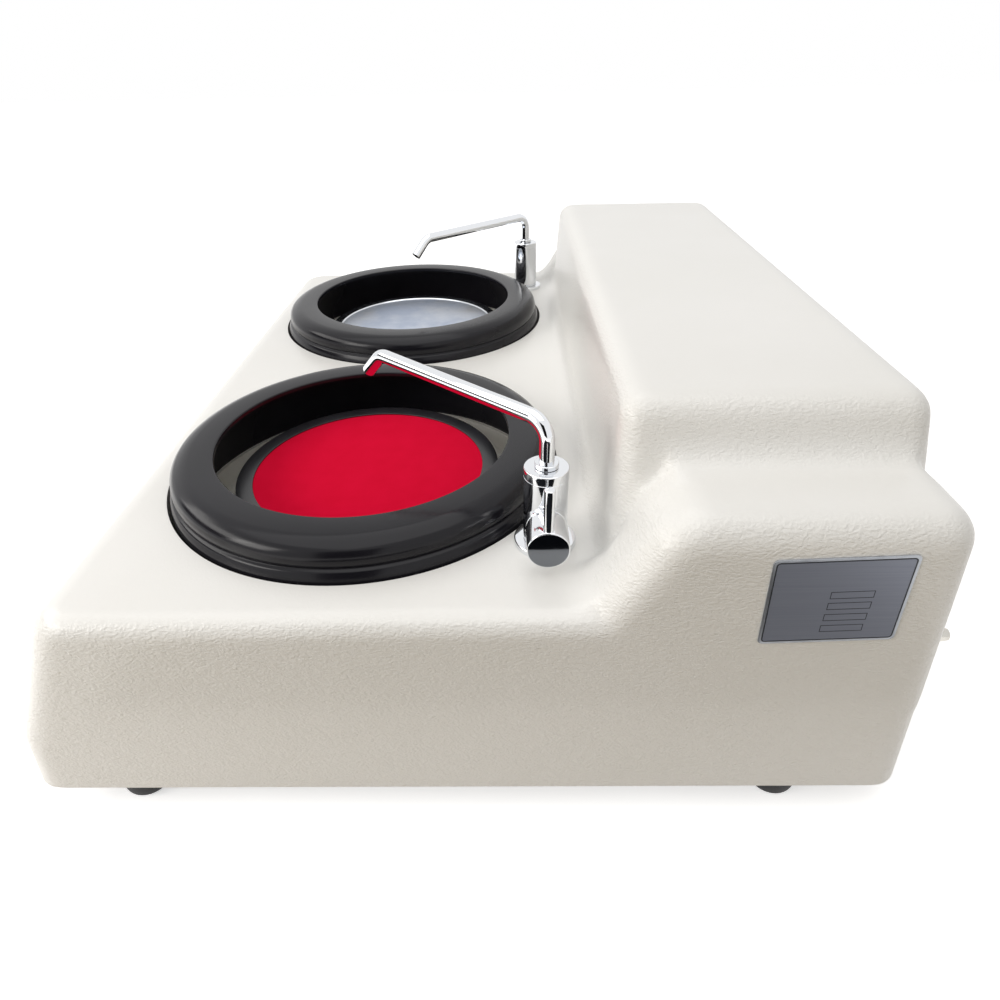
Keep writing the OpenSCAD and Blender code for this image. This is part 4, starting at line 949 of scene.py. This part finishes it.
panel_thick = 2
panel_face = -panel_thick - 0.02
panel = tile(200, 64, panel_thick, 6, 0.02)
modify(panel, "BEVEL", width=0.35 * mm, segments=2, limit_method="ANGLE")
cut(panel, join(*[rod((x, -8, 0), (x, 8, 0), 11.2, 96) for x in (-button_x, button_x)]))
settle(panel, on_slope)
hand_in(panel, "front_panel", "machine", brushed, 30, ["control_panel"])
border = settle(frame_line(190, 54, 4, 0.7, panel_thick), on_slope)
hand_in(border, "panel_border", "machine", etch, 30)

head_profile = [(0, 1.2), (2.0, 1.1), (3.2, 0), (0, 0)]
screws = []
for x in (-93, 93):
    for z in (-25.5, 25.5):
        head = outline(head_profile, {1: 0.3}, steps=32, closed=False)
        cut(head, brick((0, 0, 1.3), (5, 0.7, 1.2), 0.4 + x * 0.01 + z * 0.03))
        screws.append(settle(head, on_slope @ tipped(x, panel_face, z)))
hand_in(join(*screws), "panel_screws", "machine", zinc, 30)

bezel_profile = [(11.3, 0), (15.5, 0), (15.5, 1.4), (12.6, 3.4), (11.3, 3.4)]
bezels = []
for x in (-button_x, button_x):
    bezel = outline(bezel_profile, {2: 0.5, 3: 0.5}, steps=96)
    bezels.append(settle(bezel, on_slope @ tipped(x, panel_face, 0)))
hand_in(join(*bezels), "button_bezels", "machine", chrome, 30)
cap_profile = [(0, -22), (4, -22), (4, -5), (10.8, -5), (10.8, 11), (9.2, 11), (0, 10.4)]
for x, name, slot, cap in (
    (-button_x, "start", "green_plastic", green_cap), (button_x, "stop", "red_plastic", red_cap),
):
    button = outline(cap_profile, {4: 1.2, 5: 0.4}, steps=96, closed=False)
    settle(button, on_slope @ tipped(x, 0, 0))
    hand_in(button, name + "_cap", name, cap, 35, [name + "_button"])

pale_pa, tree, bsdf = new_finish("pale_grey_nylon", "#dcdcd8", 0.45)
mottle(tree, bsdf, place(tree), 80.0, "#d4d4d0", "#e3e3df")
dress(nodes["contact_blocks"], pale_pa)

# Nameplate
# A thin anodised aluminium plate, blue-grey, with a dark filled border and four data boxes. It
# carries no wording: the boxes are left empty.
plate_metal, tree, bsdf = new_finish("satin_anodised_plate", "#8f94a3", 0.42, 0.55)
where = place(tree, (240, 3, 240))
lines = add(tree, "TexNoise", Vector=where, Scale=5.0, Detail=3.0)
shades(tree, bsdf, lines.outputs["Fac"], "#888d9c", "#989dab")
plate_rim, tree, bsdf = new_finish("bare_plate_edge", "#a9adb4", 0.36, 0.8)
mottle(tree, bsdf, place(tree), 120.0, "#a0a4ab", "#b4b8be")
plate_y, plate_z, plate_thick = 200.4, 192, 0.8
on_end = (
    Matrix.Translation(Vector((end_line(plate_z) + 0.02, plate_y, plate_z)) * mm)
    @ Matrix.Rotation(-end_lean, 4, "Y")
    @ Matrix.Rotation(math.radians(2.3), 4, "X")
    @ Matrix.Rotation(math.pi / 2, 4, "Z")
)
plate = tile(76, 60, plate_thick, 3)
modify(plate, "BEVEL", width=0.2 * mm, segments=2, limit_method="ANGLE")
settle(plate, on_end)
hand_in(plate, "data_plate", "machine", plate_rim, 30, ["nameplate"])
field = settle(tile(72.6, 56.6, 0.05, 2.2, plate_thick), on_end)
hand_in(field, "plate_field", "machine", plate_metal, 30)
mark_out = plate_thick + 0.04
marks = [frame_line(72.8, 56.8, 2.3, 0.75, mark_out)]
for x, z in ((7.6, 4.6), (7.4, -3.2), (7.0, -11.4), (6.6, -19.6)):
    marks.append(frame_line(23.5, 5.0, 0.15, 0.42, mark_out, x, z))
hand_in(settle(join(*marks), on_end), "plate_marks", "machine", etch, 30)

# Mains inlet
# A standard three-pin inlet in black thermoplastic, screwed to a boss on the rear wall.
black_pa, tree, bsdf = new_finish("black_moulded_nylon", "#1f1f22", 0.4)
mottle(tree, bsdf, place(tree), 90.0, "#1b1b1e", "#27272a")
grit(tree, bsdf, place(tree), 900.0, 2.0, 0.04, 0.6)
dress(nodes["mains_inlet"], black_pa)
low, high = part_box("mains_inlet")
socket_y = high.y / mm
blade_gap, screw_gap = 7, 20.5
contacts = []
for i in (-1, 0, 1):
    blade = brick((socket_x + i * blade_gap, socket_y - 8.4, socket_z), (2.2, 15.5, 4.7))
    modify(blade, "BEVEL", width=0.5 * mm, segments=2)
    contacts.append(blade)
hand_in(join(*contacts), "inlet_blades", "machine", nickel, 30)
heads = []
for x in (socket_x - screw_gap, socket_x + screw_gap):
    head = outline([(0, 0), (2.6, 0), (2.3, 0.9), (0, 1.2)], {2: 0.3}, steps=32, closed=False)
    heads.append(settle(head, tipped(x, socket_y, socket_z, -math.pi / 2)))
hand_in(join(*heads), "inlet_screws", "machine", zinc, 30)

# Bench, light and camera
# The machine stands on a plain white bench under a large overhead softbox and two fill panels.
# Dark cards, seen only in reflections, give the chrome the edges that a studio gives it.
leave_all()
bpy.ops.mesh.primitive_plane_add(size=14, location=(0, 0, -0.0002))
bench = bpy.context.object
bench.name = "bench"
bench_white, tree, bsdf = new_finish("white_bench", "#ffffff", 0.9)
bounce = add(tree, "BsdfDiffuse", Color=colour("#ada18c"))
glow = add(tree, "Emission", Color=colour("#ffffff"), Strength=0.55)
mix = add(tree, "AddShader", _0=bsdf.outputs[0], _1=glow.outputs[0])


def when_seen(tree, output, unseen, seen):
    """Shows one shader to camera, glossy and transmission rays and the other to the rest."""
    path = add(tree, "LightPath")
    largest = {"operation": "MAXIMUM"}
    straight = add(
        tree, "Math", largest, _0=path.outputs["Is Camera Ray"], _1=path.outputs["Is Glossy Ray"]
    )
    straight = add(
        tree, "Math", largest, _0=straight.outputs[0], _1=path.outputs["Is Transmission Ray"]
    )
    choose = add(
        tree, "MixShader", _0=straight.outputs[0], _1=unseen.outputs[0], _2=seen.outputs[0]
    )
    tree.links.new(choose.outputs[0], tree.nodes[output].inputs["Surface"])


when_seen(tree, "Material Output", bounce, mix)
dress(bench, bench_white)

scene = bpy.context.scene
world = bpy.data.worlds.new("studio")
scene.world = world
world.use_nodes = True
tree = world.node_tree
plain = tree.nodes["Background"]
plain.inputs["Color"].default_value = colour("#fffcf8")
plain.inputs["Strength"].default_value = 0.46
white = add(tree, "Background", Color=colour("#ffffff"), Strength=1.0)
when_seen(tree, "World Output", plain, white)


def softbox(name, where, toward, width, depth, watts, tint="#ffffff"):
    """A rectangular area light that hangs at where and points at toward."""
    light = bpy.data.lights.new(name, "AREA")
    light.shape = "RECTANGLE"
    light.size, light.size_y = width, depth
    light.energy = watts
    light.color = colour(tint)[:3]
    obj = bpy.data.objects.new(name, light)
    scene.collection.objects.link(obj)
    obj.location = where
    obj.rotation_euler = (Vector(toward) - Vector(where)).to_track_quat("-Z", "Y").to_euler()


softbox("overhead", (0.1, -0.15, 1.9), (0, 0, 0.15), 2.2, 1.8, watts=11.5)
softbox("front_fill", (0.2, -1.7, 1.15), (0, 0, 0.18), 1.6, 0.6, watts=9, tint="#fffcf8")
softbox("near_fill", (0.95, -1.25, 0.8), (0.35, -0.2, 0.12), 0.6, 0.6, watts=6, tint="#fffcf8")


def card(name, middle, toward, width, height, shade):
    """A dark card that shows only in reflections."""
    leave_all()
    bpy.ops.mesh.primitive_plane_add(size=1, location=(0, 0, 0))
    obj = bpy.context.object
    obj.name = name
    turn = (Vector(toward) - Vector(middle)).to_track_quat("Z", "Y").to_matrix().to_4x4()
    obj.data.transform(Matrix.Translation(middle) @ turn @ Matrix.Diagonal((width, height, 1, 1)))
    mat, tree, bsdf = new_finish(name + "_black", shade, 0.9, Specular_IOR_Level=0.0)
    dress(obj, mat)
    obj.visible_camera = False
    obj.visible_diffuse = False
    obj.visible_shadow = False
    obj.visible_transmission = False


card("near_card", (1.9, -0.2, 0.75), (0.27, 0.05, 0.2), 1.0, 1.5, "#101114")
card("left_card", (0.2, -2.3, 0.75), (0.27, 0.05, 0.2), 1.5, 0.6, "#16171a")
card("bench_card", (0.75, 0.05, 0.004), (0.75, 0.05, 1.0), 0.62, 0.75, "#1c1e22")

camera_data = bpy.data.cameras.new("camera")
camera = bpy.data.objects.new("camera", camera_data)
scene.collection.objects.link(camera)
eye = Vector((615.25, 24.41, 446.99))
focal_px, picture_px, sensor = 670.245, 1000, 36
pitch, yaw, roll = math.radians(34.636), math.radians(-1.103), math.radians(-1.2)
level_run = math.cos(pitch)
forward = Vector((-level_run * math.cos(yaw), level_run * math.sin(yaw), -math.sin(pitch)))
right = Vector((math.sin(yaw), math.cos(yaw), 0))
up = right.cross(forward)
right, up = (
    right * math.cos(roll) + up * math.sin(roll),
    -right * math.sin(roll) + up * math.cos(roll),
)
turn = Matrix((right, up, -forward)).transposed().to_4x4()
camera.matrix_world = Matrix.Translation(eye * mm) @ turn
camera_data.sensor_width = sensor
camera_data.lens = sensor * focal_px / picture_px
camera_data.clip_start = 0.01
scene.camera = camera
scene.view_settings.view_transform = "Standard"
